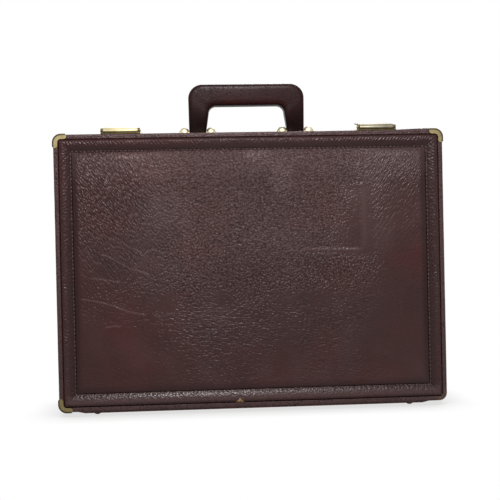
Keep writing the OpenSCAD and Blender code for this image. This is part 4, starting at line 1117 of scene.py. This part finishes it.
# Node, slot width and seed of each kind.
DOMED = (("bracket_screws", 0.0008, 2), ("lock_screws", 0.0008, 4), ("hasp_rivets", 0.0, 6),
         ("base_cap_nails", 0.0, 8), ("lid_cap_nails", 0.0, 10))
FLAT = (("base_hinge_screws", 0.0005, 12), ("lid_hinge_screws", 0.0005, 14))
for group, flat, metal in ((DOMED, False, worn_brass), (FLAT, True, hinge_brass)):
    for node, slot_w, seed in group:
        fasteners(node, slot_w, flat, seed, metal)

# %% [markdown]
# ## Light, floor and background
# A plain pale studio: one soft lamp above the front, a weaker one behind, and an even sky. The sky is white
# where the camera or a reflection sees it, so the background is clean and the brass mirrors it. The floor is
# white to light but clear to the camera, apart from a painted soft shadow under the case, greyest where the
# case is closest to it.

# %% Sky and lamps
WHITE = (1.0, 1.0, 1.0, 1.0)


def blank_graph(owner):
    """The emptied graph of a material or a world."""
    owner.use_nodes = True
    owner.node_tree.nodes.clear()
    return Graph(owner.node_tree)


world = bpy.data.worlds.new("studio_sky")
bpy.context.scene.world = world
graph = blank_graph(world)
ray = graph.node("LightPath").outputs
seen = graph.maths("MAXIMUM", ray["Is Camera Ray"], ray["Is Glossy Ray"])
seen = graph.maths("MAXIMUM", seen, ray["Is Transmission Ray"])
lit, shown = [graph.add("Background", {"Color": WHITE, "Strength": strength}) for strength in (0.3, 1.0)]
graph.node("OutputWorld", {"Surface": graph.add("MixShader", {0: seen, 1: lit, 2: shown})})


def soft_lamp(name, at, towards, wide, high, power):
    """An oblong lamp that points at a place."""
    lamp = bpy.data.objects.new(name, bpy.data.lights.new(name, "AREA"))
    lamp.data.shape = "RECTANGLE"
    lamp.data.size, lamp.data.size_y = wide, high
    lamp.visible_camera = False
    lamp.data.energy = power
    lamp.location = at
    lamp.rotation_euler = (Vector(towards) - Vector(at)).to_track_quat("-Z", "Y").to_euler()
    bpy.context.scene.collection.objects.link(lamp)


soft_lamp("lamp_above", (-0.03, -0.72, 0.74), (0.0, 0.0, 0.24), 0.22, 0.22, 7.0)
soft_lamp("lamp_panel", (0.0, -0.82, 0.76), (0.0, 0.0, 0.27), 0.7, 0.3, 2.2)
soft_lamp("lamp_behind", (0.3, 1.0, 1.1), (0.0, 0.0, 0.2), 0.6, 0.6, 9.0)
print("lamps:", len(bpy.data.lights))

# %% Floor
REACH = 3.0
floor_white = bpy.data.materials.new("floor_white")
graph = blank_graph(floor_white)
ray = graph.node("LightPath").outputs
# Painted shadow: for the camera the floor turns grey where the case hides it from the sky.
near = graph.node("AmbientOcclusion", {"Distance": 0.045}, samples=16).outputs["AO"]
painted_shadow = graph.ramp(near, 0.98, 0.35, 0.0, 0.34, "LINEAR")
clear = graph.add("BsdfTransparent")
painted_shadow_grey = graph.add("Emission", {"Color": shade((120, 116, 114)), "Strength": 1.0})
for_camera = graph.add("MixShader", {0: painted_shadow, 1: clear, 2: painted_shadow_grey})
pale = graph.add("BsdfDiffuse", {"Color": (0.86, 0.86, 0.86, 1.0)})
for_light = graph.add("MixShader", {0: ray["Is Shadow Ray"], 1: pale, 2: clear})
surface = graph.add("MixShader", {0: ray["Is Camera Ray"], 1: for_light, 2: for_camera})
graph.node("OutputMaterial", {"Surface": surface})
corners = [(sx * REACH, sy * REACH, 0.0) for sx, sy in ((-1, -1), (1, -1), (1, 1), (-1, 1))]
floor = make_piece("floor", corners, [(0, 1, 2, 3)], floor_white)
print("studio ready")

# %% Finish
bpy.context.scene.view_settings.view_transform = "Standard"
